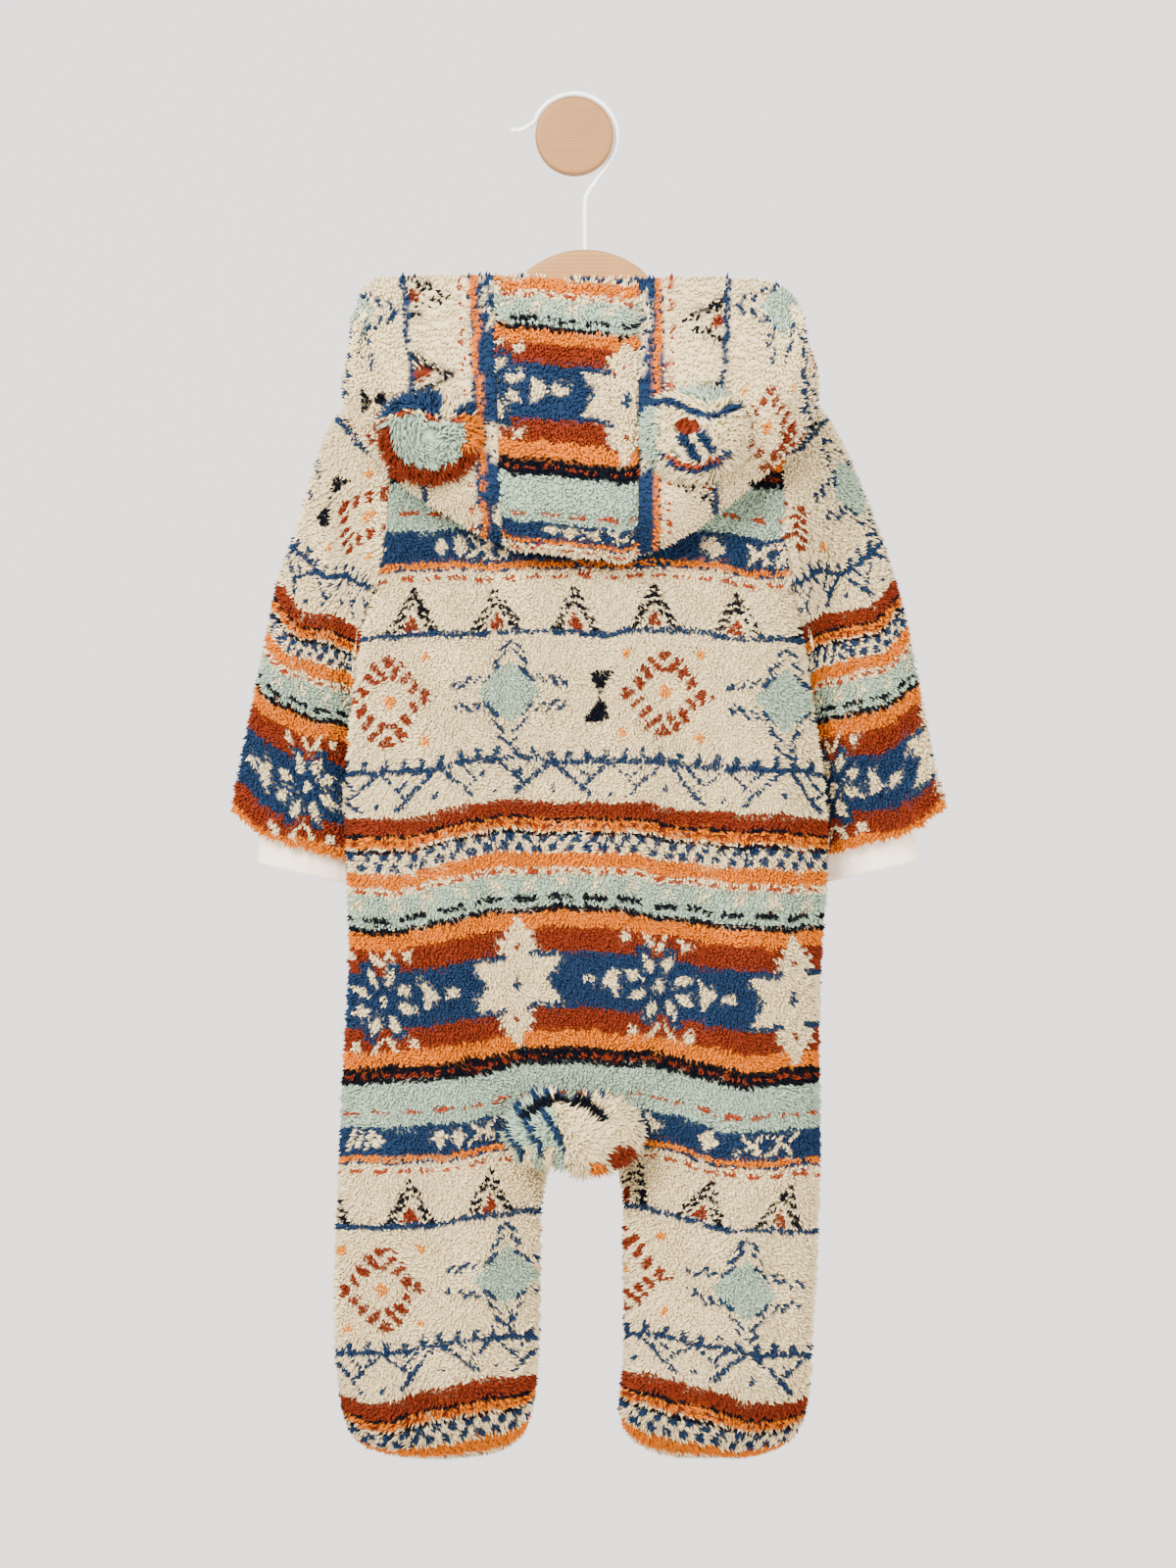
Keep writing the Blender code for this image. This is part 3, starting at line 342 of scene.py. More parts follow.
def coons(
    top: Array, bottom: Array, left: Array, right: Array,
) -> Array:
    """Grid between four edges: the sum of both ruled grids less the corners' grid.

    Args:
        top, bottom: points from left to right.
        left, right: points from top to bottom.
    Returns:
        The grid of points, rows from top to bottom.
    """
    share_x, other_x = (lengths(edge, 0) / lengths(edge, 0)[-1] for edge in (top, bottom))
    share_z = lengths(left, 0) / lengths(left, 0)[-1]
    v = np.repeat(share_z[:, None], len(top), 1)[..., None]
    u = ((1 - share_z)[:, None] * share_x + share_z[:, None] * other_x)[..., None]
    ruled = (1 - v) * top[None] + v * bottom[None] + (1 - u) * left[:, None] + u * right[:, None]
    corners = (
        (1 - u) * (1 - v) * top[0] + u * (1 - v) * top[-1]
        + (1 - u) * v * bottom[0] + u * v * bottom[-1]
    )
    return (ruled - corners).reshape(len(left), len(top), 2)


@dataclass(frozen=True)
class Crease:
    """A soft trough or ridge in the flat suit, along a line between two points.

    Attributes:
        start, end: ends of its line, x and level.
        width: how wide it is at half its height.
        rise: its height, less than 0 for a trough.
    """

    start: tuple[float, float]
    end: tuple[float, float]
    width: float
    rise: float

    def height(self, plan: Array) -> Array:
        """rise * exp(-(distance / width)^2), faded over the last third of each end."""
        start, line = np.array(self.start), np.subtract(self.end, self.start)
        along_line = ((plan - start) @ line) / (line @ line)
        bow = 0.05 * np.linalg.norm(line) * np.sin(math.pi * np.clip(along_line, 0, 1))
        across = (plan - start) @ unit(np.array([-line[1], line[0]])) - bow
        fade = ease(along_line, -0.12, 0.3) * (1 - ease(along_line, 0.7, 1.12))
        return self.rise * fade * np.exp(-((across / self.width) ** 2))


def crease_rows(*rows: tuple[float, ...]) -> tuple[Crease, ...]:
    """Creases from rows of both ends' x and level, the width and the rise."""
    return tuple(Crease(row[:2], row[2:4], *row[4:]) for row in rows)


BACK_CREASES = crease_rows(
    (-70, -225, -78, -470, 17, 4.0), (-38, -250, -30, -500, 15, -3.6), (2, -235, 6, -430, 21, 3.0),
    (44, -240, 36, -480, 14, -3.4), (80, -230, 84, -500, 18, 3.8), (-104, -260, -100, -420, 9, -3.0),
    (106, -270, 101, -450, 9, -2.8), (-96, -205, -50, -262, 9, -3.2), (92, -212, 56, -258, 8, -2.8),
    (-18, -505, -62, -462, 9, -3.4), (20, -508, 58, -470, 9, -3.2), (-58, -520, -66, -650, 14, 3.4),
    (-88, -530, -98, -640, 11, -3.2), (-34, -535, -40, -640, 9, -2.4), (40, -530, 46, -650, 10, -2.8),
    (70, -522, 74, -655, 15, 3.4), (96, -535, 98, -630, 9, -2.6), (-104, -640, -52, -648, 8, -2.6),
    (36, -640, 92, -646, 8, -2.4), (-60, -340, 40, -352, 16, 1.6), (-20, -440, 90, -428, 15, 1.8),
    (-112, -560, -60, -578, 8, -2.0), (106, -574, 60, -592, 8, -1.9), (-86, -130, -66, -200, 12, -2.4),
    (84, -130, 66, -196, 12, -2.2),
)
FRONT_CREASES = crease_rows(
    (-78, -220, -70, -440, 15, 3.6), (-48, -190, -44, -330, 11, -3.0), (62, -230, 74, -470, 16, 3.4),
    (92, -250, 90, -420, 10, -2.8), (-100, -260, -98, -430, 9, -2.6), (-88, -160, -52, -214, 9, -2.8),
    (86, -170, 50, -226, 8, -2.5), (34, -300, 42, -440, 9, -2.4), (-30, -512, -70, -476, 9, -3.0),
    (24, -514, 62, -480, 9, -3.0), (-72, -520, -78, -630, 13, 3.0), (68, -525, 64, -628, 13, 3.0),
    (-102, -600, -46, -618, 8, -2.6), (36, -606, 92, -624, 8, -2.6), (-44, -560, -40, -620, 8, -2.2),
    (98, -540, 94, -610, 8, -2.2), (-60, -112, -72, -170, 12, -2.2), (58, -114, 70, -166, 11, -2.0),
)
SLEEVE_CREASES = {
    "left": crease_rows(
        (-120, -160, -142, -330, 11, 2.6), (-112, -190, -128, -300, 8, -2.8),
        (-138, -200, -158, -345, 9, -2.4), (-104, -222, -138, -246, 7, -2.2),
        (-126, -288, -160, -304, 8, -1.8), (-150, -320, -124, -344, 8, 1.6),
    ),
    "right": crease_rows(
        (122, -160, 144, -330, 11, 2.6), (113, -196, 128, -310, 8, -2.6),
        (140, -210, 160, -345, 9, -2.5), (104, -224, 136, -250, 7, -2.2),
        (128, -280, 162, -292, 8, -1.8), (148, -326, 124, -342, 8, 1.5),
    ),
}
# In the hood's own terms: 20 * station across, 100 * row down from the neck.
HOOD_CREASES = crease_rows(
    (-52, 52, -30, 96, 4.5, -2.6), (52, 52, 31, 96, 4.5, -2.4), (-20, 56, -12, 90, 4.0, 1.8),
    (21, 55, 13, 92, 4.0, 1.6), (-66, 60, -60, 99, 3.5, 2.2), (66, 60, 61, 99, 3.5, 2.2),
    (-40, 70, -72, 94, 4.0, -2.0), (42, 72, 72, 96, 4.0, -2.0), (-44, 12, -30, 44, 5.0, -2.0),
    (44, 12, 30, 44, 5.0, -2.0), (-6, 60, 8, 88, 5.0, 1.2),
)


def creased(plan: Array, creases: Sequence[Crease]) -> Array:
    """Sum of the heights of all creases at each point of a grid."""
    flat = plan.reshape(-1, 2)
    return sum(crease.height(flat) for crease in creases).reshape(plan.shape[:-1])


class Finish(Enum):
    """Colours of the print, as sRGB shares."""

    CREAM = (1.000, 0.900, 0.690)
    BLUE = (0.120, 0.205, 0.325)
    NAVY = (0.030, 0.042, 0.085)
    RUST = (0.500, 0.175, 0.075)
    ORANGE = (0.900, 0.465, 0.050)
    SAGE = (0.690, 0.775, 0.670)
    BRICK = (0.660, 0.250, 0.120)
    MARIGOLD = (0.970, 0.580, 0.140)

    @property
    def linear(self) -> Array:
        """The colour in linear light: ((c + 0.055) / 1.055) ^ 2.4 above the toe."""
        share = np.array(self.value)
        return np.where(share <= 0.04045, share / 12.92, ((share + 0.055) / 1.055) ** 2.4)


CREAM, BLUE, NAVY, RUST, ORANGE, SAGE, BRICK, MARIGOLD = Finish


def canvas(shape: tuple[int, ...]) -> tuple[Array, Callable[[Array, Finish], None]]:
    """A cream field of linear colours, and what paints a mask of it in one colour."""
    made = np.zeros(shape + (3,)) + CREAM.linear

    def paint(mask: Array, finish: Finish) -> None:
        """Paints the places of the mask."""
        made[mask] = finish.linear

    return made, paint


@dataclass(frozen=True)
class Band:
    """A plain stripe of the print, from top to bottom in millimetres of the repeat."""

    top: float
    bottom: float
    colour: Finish


@dataclass(frozen=True)
class BandPrint:
    """A traditional banded print: stripes with rows of small plain motifs.

    The repeat is 298 mm down and 140 mm across. Each motif is a mask made from
    distances within its own cell; a later mask covers an earlier one.
    """

    drop: float = 298.0
    step: float = 140.0
    wobble: float = 0.45
    bands: tuple[Band, ...] = (
        Band(2.0, 18.0, BLUE), Band(18.0, 21.2, ORANGE), Band(21.2, 22.2, BLUE), Band(53.4, 56.4, BLUE),
        Band(121.0, 123.8, BLUE), Band(143.5, 151.0, RUST), Band(151.0, 152.6, NAVY),
        Band(152.6, 157.2, ORANGE), Band(168.5, 175.5, ORANGE), Band(179.5, 194.4, SAGE),
        Band(194.4, 197.0, NAVY), Band(197.0, 205.0, ORANGE), Band(205.0, 217.0, RUST),
        Band(217.0, 246.0, BLUE), Band(246.0, 257.5, RUST), Band(257.5, 265.6, ORANGE),
        Band(265.6, 275.0, NAVY), Band(275.0, 298.0, SAGE), Band(0.0, 2.0, SAGE),
    )

    def colour(self, across: Array, down: Array) -> Array:
        """Linear colour at each place of the print.

        Args:
            across, down: places in millimetres.
        Returns:
            Red, green and blue, in a last dimension more.
        """
        wave = np.sin(across / 5.3 + down / 19) + 0.6 * np.sin(across / 2.1 - down / 11)
        s, t = across, np.mod(down + self.wobble * wave, self.drop)
        made, paint = canvas(s.shape)
        for band in self.bands:
            paint((t >= band.top) & (t < band.bottom), band.colour)
        self.paint_fine_rows(s, t, paint)
        self.paint_narrow_band(s, t, paint)
        self.paint_triangles(s, t, paint)
        self.paint_stars(s, t - 88.0, paint)
        self.paint_branches(s, t, paint)
        self.paint_crosses(self.cell(s, 66.5, self.step), t - 231.5, paint)
        self.paint_snow_stars(self.cell(s, 138.0, self.step), t - 231.5, paint)
        return made

    @staticmethod
    def cell(s: Array, start: float, step: float) -> Array:
        """Signed distance across to the nearest of the places start + n * step."""
        return np.mod(s - start + step / 2, step) - step / 2

    def dashes(
        self, s: Array, t: Array, level: float, half: float, step: float, share: float,
    ) -> Array:
        """A row of dashes: |t - level| < half, on a share of every step."""
        wander = 0.22 * step * np.sin(s / (2.7 * step) + level)
        return (abs(t - level) < half) & (abs(self.cell(s + wander, 0, step)) < share * step / 2)

    def paint_fine_rows(self, s: Array, t: Array, paint: Callable) -> None:
        """Rows of dashes and checks between and on the stripes."""
        for level, half, step, share, finish in (
            (26.4, 0.95, 12.4, 0.62, BRICK), (154.9, 0.75, 7.0, 0.6, RUST),
            (177.8, 0.9, 9.4, 0.58, BRICK), (190.6, 1.15, 17.5, 0.72, NAVY),
            (270.4, 1.15, 6.6, 0.68, RUST), (291.6, 0.95, 13.8, 0.66, BRICK),
        ):
            paint(self.dashes(s, t, level, half, step, share), finish)
        paint((t > 158.2) & (t < 159.8), NAVY)
        checks = (t > 159.5) & (t < 167.6) & (abs(self.cell(s + 3.2 * (t > 163.4), 0, 8.2)) < 2.2)
        paint(checks & (abs(t - 163.4) > 0.4), BLUE)
        x, y = abs(self.cell(s, 5, 17.5)), abs(t - 184)
        marks = (t > 181.5) & (t < 187) & (x - 0.8 * y < 1.6) & (x > 0.7 * y - 0.4)
        paint(marks, CREAM)

    def paint_narrow_band(self, s: Array, t: Array, paint: Callable) -> None:
        """The narrow blue band: cream diamonds, slanted bars and branched stems."""
        y = t - 9.9
        for start, half in ((28.6, 4.0), (38.2, 4.0), (166.0, 6.4)):
            paint(abs(self.cell(s, start, 280.0)) / half + abs(y) / 6.0 < 1, CREAM)
        x = self.cell(s, 56.8, self.step)
        branch = abs(abs(y) - 0.9 * (abs(abs(x) - 7.5) - 0.5)) < 1.3
        paint(branch & (abs(y) < 6.2) & (abs(abs(x) - 7.5) < 6.5), CREAM)
        paint((abs(abs(x) - 5.0) < 1.1) & (abs(y) < 5.6), CREAM)
        x = self.cell(s, 127.0, self.step)
        bars = (abs(self.cell(x + 0.25 * y, 0, 4.4)) < 1.2) & (abs(x) < 6.6) & (abs(y) < 5.6)
        paint(bars, CREAM)
        paint((x > 7) & (x < 12.5) & (abs(y) < 0.9 * (12.8 - x)), CREAM)

    def paint_triangles(self, s: Array, t: Array, paint: Callable) -> None:
        """Upright triangles of slanted strokes, each round a small rust triangle."""
        x = abs(self.cell(s, 13.1, 41.0))
        inside = (t - 30.2) * 0.54 - x
        stroke = np.mod(t - 0.45 * x + 0.4, 3.9) < 2.25
        paint((t < 53.4) & (inside > -0.6) & (inside < 5.0) & stroke, NAVY)
        paint((t > 44.6) & (t < 52.6) & (x < (t - 43.8) * 0.52), RUST)

    def paint_stars(self, s: Array, y: Array, paint: Callable) -> None:
        """The tall row: a rust diamond of strokes, a blue star and a dark hourglass."""
        x = self.cell(s, 0, self.step)
        ring = abs(x) / 24.5 + abs(y) / 26.5
        strokes = abs(self.cell(abs(x) / 24.5 - abs(y) / 26.5, 0, 0.36)) < 0.10
        rim = ring + 0.07 * np.cos(9 * x / 24.5)
        paint((rim < 0.98) & (rim > 0.52) & strokes, RUST)
        paint(abs(x) / 4.2 + abs(y) / 4.2 < 1, MARIGOLD)
        paint(np.hypot(abs(x) - 19.5, abs(y) - 20.5) < 2.3, MARIGOLD)
        x = self.cell(s, 62.5, self.step)
        far, near = np.maximum(abs(x), abs(y)), np.minimum(abs(x), abs(y))
        paint(abs(x) / 17 + abs(y) / 17 < 1, SAGE)
        edge = 0.40 * (28.5 - far) + np.where(abs(x) > abs(y), 3.6 * ease(far, 10, 22), 0)
        outline = (near - edge > -1.3) & (near - edge < 3.6)
        strokes = np.mod(far + 0.85 * near, 5.3) < 2.75
        paint(outline & strokes & (far < 29.5) & (far + near > 12), BLUE)
        x = self.cell(s, 107.6, self.step)
        paint((abs(x) < 0.53 * (abs(y) - 0.4)) & (abs(y) < 13.4) & (abs(y) > 1.1), NAVY)

    def paint_branches(self, s: Array, t: Array, paint: Callable) -> None:
        """A comb of short ticks on its line, and slanted strokes with dots under it."""
        paint((t > 116.3) & (t < 121.4) & (abs(self.cell(s, 0, 9.4)) < 1.55), BLUE)
        fold = abs(self.cell(s, 27, 58.7))
        depth = t - 123.0
        below = (depth > 0) & (depth < 17.5)
        paint(below & (abs(fold - 1.05 * depth - 1.5) < 1.7), BLUE)
        paint(below & (depth < 12) & (abs(fold - 29.3 + 1.15 * depth) < 1.25), BLUE)
        paint(below & (depth < 9) & (abs(fold - 10.5 - 1.05 * depth) < 1.0), BLUE)
        paint(np.hypot(fold, depth - 12.5) < 1.5, BLUE)
        paint(np.hypot(fold - 29.3, depth - 15.5) < 1.4, BLUE)

    @staticmethod
    def paint_crosses(x: Array, y: Array, paint: Callable) -> None:
        """Stepped cream crosses: half the width is read from a table of heights."""
        high = (0, 11.4, 11.6, 14.6, 15.4, 18.5, 21.8, 22.0, 25.5, 26.0, 33.0)
        wide = (14.5, 22.5, 6.0, 5.5, 10.5, 8.0, 10.8, 5.5, 7.6, 4.2, 1.2)
        paint((abs(x) < np.interp(abs(y), high, wide)) & (abs(y) < 33), CREAM)
        paint((abs(x) < 1.0) & (abs(y) < 4.2) | (abs(y - 1) < 1.0) & (abs(x) < 2.8), BLUE)
        paint(abs(x) + abs(abs(y) - 18.8) < 2.1, RUST)

    @staticmethod
    def paint_snow_stars(x: Array, y: Array, paint: Callable) -> None:
        """Cream stars of eight leaves, with wings, sprigs and four dots."""
        distance = np.hypot(x, y)
        turn = np.mod(np.arctan2(y, x), math.pi / 4) - math.pi / 8
        paint((distance < 22) & (abs(y) > 13) & (abs(turn * distance) < 3.6), BLUE)
        paint(abs(distance - 13.0) / 6.2 + abs(distance * turn) / 2.9 < 1, CREAM)
        paint(abs(x) / 2.8 + abs(y) / 4.6 < 1, CREAM)
        paint((abs(x) > 21) & (abs(y) < 0.9 * (30 - abs(x))), CREAM)
        paint((abs(abs(x) - 36) < 3.6) & (abs(y) < 1.9), CREAM)
        leaves = abs(abs(x) - 0.62 * (abs(y) - 17.5)) < 1.5
        paint(leaves & (abs(y) > 19) & (abs(y) < 27), CREAM)
        paint(np.maximum(abs(abs(x) - 14.5), abs(abs(y) - 23.0)) < 2.3, CREAM)


@dataclass
class Panel:
    """A grid of cloth from its top row to its bottom row.

    Attributes:
        place: points in millimetres, rows by columns.
        normal: unit normals that point out of the suit.
        printed: across and down in the print.
        flip: True where rows and columns run the other way round seen from outside.
        tube: True where the last column is followed by the first.
        thick: share of the full pile at each point.
        hem: True where the pile leans out over the last row.
        paint: gives colours from points in space, instead of the print.
    """

    place: Array
    normal: Array
    printed: Array
    flip: bool = False
    tube: bool = False
    thick: Array | None = None
    hem: bool = False
    paint: Callable[[Array], Array] | None = None

    def closed(self) -> "Panel":
        """The panel with a tube's first column again at its end."""
        if not self.tube:
            return self
        place, normal = (np.concatenate([part, part[:, :1]], 1) for part in (self.place, self.normal))
        step = np.linalg.norm(self.place[:, :1] - self.place[:, -1:], axis=2)[..., None] * [1, 0]
        printed = np.concatenate([self.printed, self.printed[:, -1:] + step], 1)
        thick = None if self.thick is None else np.concatenate([self.thick, self.thick[:, :1]], 1)
        return replace(self, place=place, normal=normal, printed=printed, thick=thick, tube=False)

    def colours(self, points: Array, printed: Array) -> Array:
        """Linear colours from the print, or from the panel's own paint."""
        if self.paint is not None:
            return self.paint(points)
        return PRINT.colour(printed[..., 0], printed[..., 1])


PRINT = BandPrint()


def lift(panel: Panel, height: Array, steep: bool = False) -> Panel:
    """The panel moved out along its normals, which then follow the new form.

    The new normal is the cross product of the grid's own two directions.

    Args:
        panel: the cloth.
        height: how far each point moves.
        steep: True where the grid folds sharply: the whole panel's hand is used, and
            a normal that turns far from the old one gives way to it.
    Returns:
        The moved panel.
    """
    place = panel.place + height[..., None] * panel.normal
    down = np.gradient(place, axis=0)
    if panel.tube:
        across = np.roll(place, -1, 1) - np.roll(place, 1, 1)
    else:
        across = np.gradient(place, axis=1)
    normal = np.cross(across, down)
    size = np.linalg.norm(normal, axis=2, keepdims=True)
    facing = (normal * panel.normal).sum(2, keepdims=True)
    normal = normal * np.sign(facing.sum() if steep else facing)
    normal = np.where(size > 1e-6, unit(normal), panel.normal)
    share = ease(abs(height), 0.0, 0.6)[..., None]
    if steep:
        agreed = (normal * panel.normal).sum(2, keepdims=True)
        share = np.maximum(share, 1 - ease(agreed, 0.5, 0.8))
    return replace(panel, place=place, normal=unit(normal * share + panel.normal * (1 - share)))


PRINT_LEVELS = (
    (-92, -107.5), (-190, -8), (-209, 9.8), (-253, 54.7), (-284, 88), (-318, 122.3), (-344, 148),
    (-370, 172.5), (-384, 186.5), (-395, 196), (-431, 231.5), (-470, 270.5), (-484, 286), (-503, 307.8),
    (-547, 352.7), (-579, 386), (-610, 420.3), (-633, 446), (-645, 461), (-657, 470.7), (-665, 476),
    (-676, 486),
)


def body_print(plan: Array, across: float) -> Array:
    """Print of the body: bands that sink to both sides, more so lower down.

    A band sinks by its share of 10 mm * ease(distance from the middle); on the
    right leg the print stands 18 mm further in.
    """
    x, level = plan[..., 0], plan[..., 1]
    sink = 4.0 + 6.0 * ease(-level, 260, 400)
    sag = sink * np.where(x < 0, ease(-x, 25, 108), ease(x, 20, 88))
    sway = 1.1 * np.sin(x / 21.0 + level / 60.0) + 0.7 * np.sin(x / 11.0 - level / 37.0)
    levels, downs = np.array(PRINT_LEVELS[::-1]).T
    down = np.interp(level + sag + sway, levels, downs)
    drift = 1.6 * np.sin(level / 33.0) + 0.8 * np.sin(level / 13.0 + x / 25.0)
    leg = 18.0 * ease(-level, 500, 560) * ease(x, -4, 20)
    return np.stack([x + across + drift + leg, down], -1)


@dataclass
class BodyForm:
    """The flat trunk and legs, hung up: the back, the two fronts and the soles."""

    columns: int = 31
    upper_rows: int = 26
    levels: tuple[float, ...] = field(default_factory=lambda: tuple(np.concatenate([
        np.linspace(UNDERARM, CROTCH, 66)[1:],
        (-514.5, -518, -524, -529), np.linspace(-534, HEEL_SEAM, 28),
        (-654, -658, -662, -666, -670, -674, -677, -680, -683, -685, -686.5, -687.7, TOE),
    ])))

    @property
    def shared_rows(self) -> int:
        """Rows above the crotch, where both halves of the back are one."""
        return self.upper_rows + 1 + sum(level >= CROTCH for level in self.levels)

    @property
    def leg_rows(self) -> int:
        """Rows down to the heel seam."""
        return self.upper_rows + 1 + sum(level >= HEEL_SEAM for level in self.levels)

    def plan(self, side: str, neck_level: float, middle: Callable[[float], float]) -> Array:
        """Flat grid of half a panel, from its side to its middle and down to the toe.

        Above the underarm it lies between the neck, the armhole and the middle. Below
        it each level is a straight row. The foot's edges lie on the outline, where the
        sole meets the front.

        Args:
            side: "left" or "right".
            neck_level: level of the neck's edge at the middle.
            middle: x of the inner edge at a level.
        Returns:
            x and level, rows by columns.
        """
        sign, column = (-1, 1) if side == "left" else (1, 2)
        fractions = spread(self.columns)
        neck_column = self.columns * 2 // 5
        part = fractions[:neck_column + 1] / fractions[neck_column]
        shoulder = EDGES[f"over_{side}"].onto(along(SLEEVE_OUTER[side][:SHOULDER_POINT + 1], 1 - part))
        edge = middle(neck_level)
        rest = np.linspace(0, 1, self.columns - neck_column + 1)[1:]
        neck_x = sign * NECK_HALF * np.cos(rest * math.pi / 2) + edge * rest**3
        drop = (1 - np.clip(neck_x * sign / NECK_HALF, 0, 1) ** 2) ** NECK_CURVE
        neck_z = NECK_SIDE + (neck_level - NECK_SIDE) * drop
        top = np.vstack([shoulder, np.column_stack([neck_x, neck_z])])
        armhole = along(ARMHOLE[side], spread(self.upper_rows))
        armhole[0] = shoulder[0]
        low_x = armhole[-1, 0] + (middle(UNDERARM) - armhole[-1, 0]) * fractions
        bottom = np.column_stack([low_x, 0 * low_x + UNDERARM])
        down = top[-1, 1] + (UNDERARM - top[-1, 1]) * spread(self.upper_rows)
        centre = np.column_stack([[middle(level) for level in down], down])
        rows = [coons(top, bottom, armhole, centre)]
        for level in self.levels:
            outer = smooth([(row[0], row[column]) for row in SIDES], [level])[0, 0]
            inner = middle(level)
            if level < CROTCH:
                inner = smooth([(row[0], row[column]) for row in INSEAM], [level])[0, 0]
            x = outer + (inner - outer) * fractions
            rows.append(np.column_stack([x, 0 * x + level])[None])
        grid = np.concatenate(rows)
        for edge in (grid[-1], grid[-FOOT_ROWS:, 0], grid[-FOOT_ROWS:, -1]):
            edge[:] = EDGES["body"].onto(edge)
        return grid

    def panel(
        self, plan: Array, side: int, creases: Sequence[Crease], across: float,
        sink: float | Array = 0.0, flip: bool = False,
    ) -> Panel:
        """Half a panel in space, with its creases, which fade at its seams.

        Args:
            plan: its flat grid.
            side: 1 on the back, -1 on the front.
            creases: the creases that cross it.
            across: where its print starts.
            sink: how far it lies in, at each point.
            flip: the grid's hand.
        Returns:
            The panel.
        """
        flat = plan.reshape(-1, 2)
        depth = smooth(DEPTHS, flat[:, 1])[:, 0]
        high, inward, out = rounded(flat, ("body", "over_left", "over_right"), depth, BODY_REACH)
        sunk = np.ravel(sink + 0 * plan[..., 0])
        place, normal = hang(flat, high + CLOTH_GAP - sunk, inward, out, side)
        shape = plan.shape[:2]
        place, normal = place.reshape(shape + (3,)), normal.reshape(shape + (3,))
        full = (high / depth).reshape(shape) ** 2
        fade = ease(lengths(place, 1), 0, 16) * ease(lengths(place, 0), 0, 14) * full
        ripple = 0.5 * np.sin(plan[..., 0] / 6.5 + plan[..., 1] / 17) * np.sin(plan[..., 1] / 9.5)
        panel = Panel(place, normal, body_print(plan, across), flip)
        return lift(panel, (creased(plan, creases) + ripple) * fade)


def middle_back(level: float) -> float:
    """The back has no seam down its middle."""
    return 0.0


def middle_left(level: float) -> float:
    """The left front runs past the middle as far as the lap goes."""
    return -CLOTH_GAP + (LAP + CLOTH_GAP) * float(ease(level, LAP_END - 6, LAP_END))


def middle_right(level: float) -> float:
    """The right front runs as far under the left one."""
    return CLOTH_GAP - (LAP + CLOTH_GAP) * float(ease(level, LAP_END, LAP_END + 12))


def lap_sink(plan: Array) -> Array:
    """How far the right front lies under the left one at each point."""
    return LAP_STEP * ease(plan[..., 1], *LAP_FADE) * (1 - ease(plan[..., 0], *LAP_RISE))


@dataclass
class SleeveForm:
    """A sleeve: a flat tube that swings from the armhole back to the wall."""

    side: str
    columns: int = 18
    rows: int = 46
    hem_level: float = 261.0

    def surface(self, rows: Array) -> tuple[Array, Array, Array, Array]:
        """Rings of the sleeve: its back from the outer edge, then its front.

        Args:
            rows: fractions of the way from armhole to hem.
        Returns:
            Places, normals, plan and half thickness over depth.
        """
        side = self.side
        outer = EDGES[f"over_{side}"].onto(along(SLEEVE_OUTER[side][SHOULDER_POINT:], rows))
        inner = along(SLEEVE_INNER[side], rows)
        armhole = along(ARMHOLE[side], spread(self.columns))
        hem = along(SLEEVE_HEM[side], spread(self.columns))
        armhole[0] = outer[0]
        plan = coons(armhole, hem, outer, inner)
        flat = plan.reshape(-1, 2)
        share = ease(lengths(plan, 0), 0, SWING_LENGTH).reshape(-1)
        depth = smooth(DEPTHS, flat[:, 1])[:, 0] * (1 - share) + SLEEVE_DEPTH * share
        reach = BODY_REACH * (1 - share) + SLEEVE_REACH * share
        high, inward, out = rounded(flat, (f"over_{side}", f"under_{side}"), depth, reach)
        grown = high + CLOTH_GAP * np.clip(high / 2, 0, 1)
        halves = []
        for face in (1, -1):
            place, normal = hang(flat, grown, inward, out, face, SLEEVE_SWING * share)
            halves.append([part.reshape(plan.shape[:2] + (3,)) for part in (place, normal)])
        full = (high / depth).reshape(plan.shape[:2])
        grids = (*zip(*halves), (plan, plan), (full, full))
        return tuple(np.concatenate([back, front[:, -2:0:-1]], 1) for back, front in grids)

    def panel(self) -> Panel:
        """The whole sleeve with its creases and its print, level with the hem."""
        rows = np.linspace(0, 1, self.rows + 1)
        place, normal, plan, full = self.surface(rows)
        left = self.side == "left"
        outer_x, inner_x = plan[:, :1, 0], plan[:, self.columns:self.columns + 1, 0]
        share = (plan[..., 0] - outer_x) / (inner_x - outer_x)
        nudge = 2.8 * share**2 * np.exp(-(((plan[..., 1] + 257) / 24) ** 2))
        place[..., 0] += nudge if left else -nudge
        run = lengths(plan, 0)
        down = self.hem_level - (run[-1] - run)
        around = lengths(place, 1)
        around = around - around[:, self.columns:self.columns + 1] / 2
        across = 133.5 + around if left else 22.0 - around
        down = down + 1.4 * np.sin(around / 14.0) + 0.8 * np.sin(around / 7.0 + down / 20)
        printed = np.stack([across, down], -1)
        panel = Panel(place, normal, printed, not left, True, hem=True)
        fade = ease(run, 0, 16) * (1 - 0.5 * ease(run - run[-1], -10, 0)) * full**1.5
        return lift(panel, creased(plan, SLEEVE_CREASES[self.side]) * fade, left)


# distance from the fold, place down in the print
HOOD_PRINT = (
    (-160, 0, 9, 16, 24, 35, 48, 88, 124, 148, 175),
    (480, 330, 317.5, 307.8, 291.5, 285, 270, 231, 190, 165, 138),
)


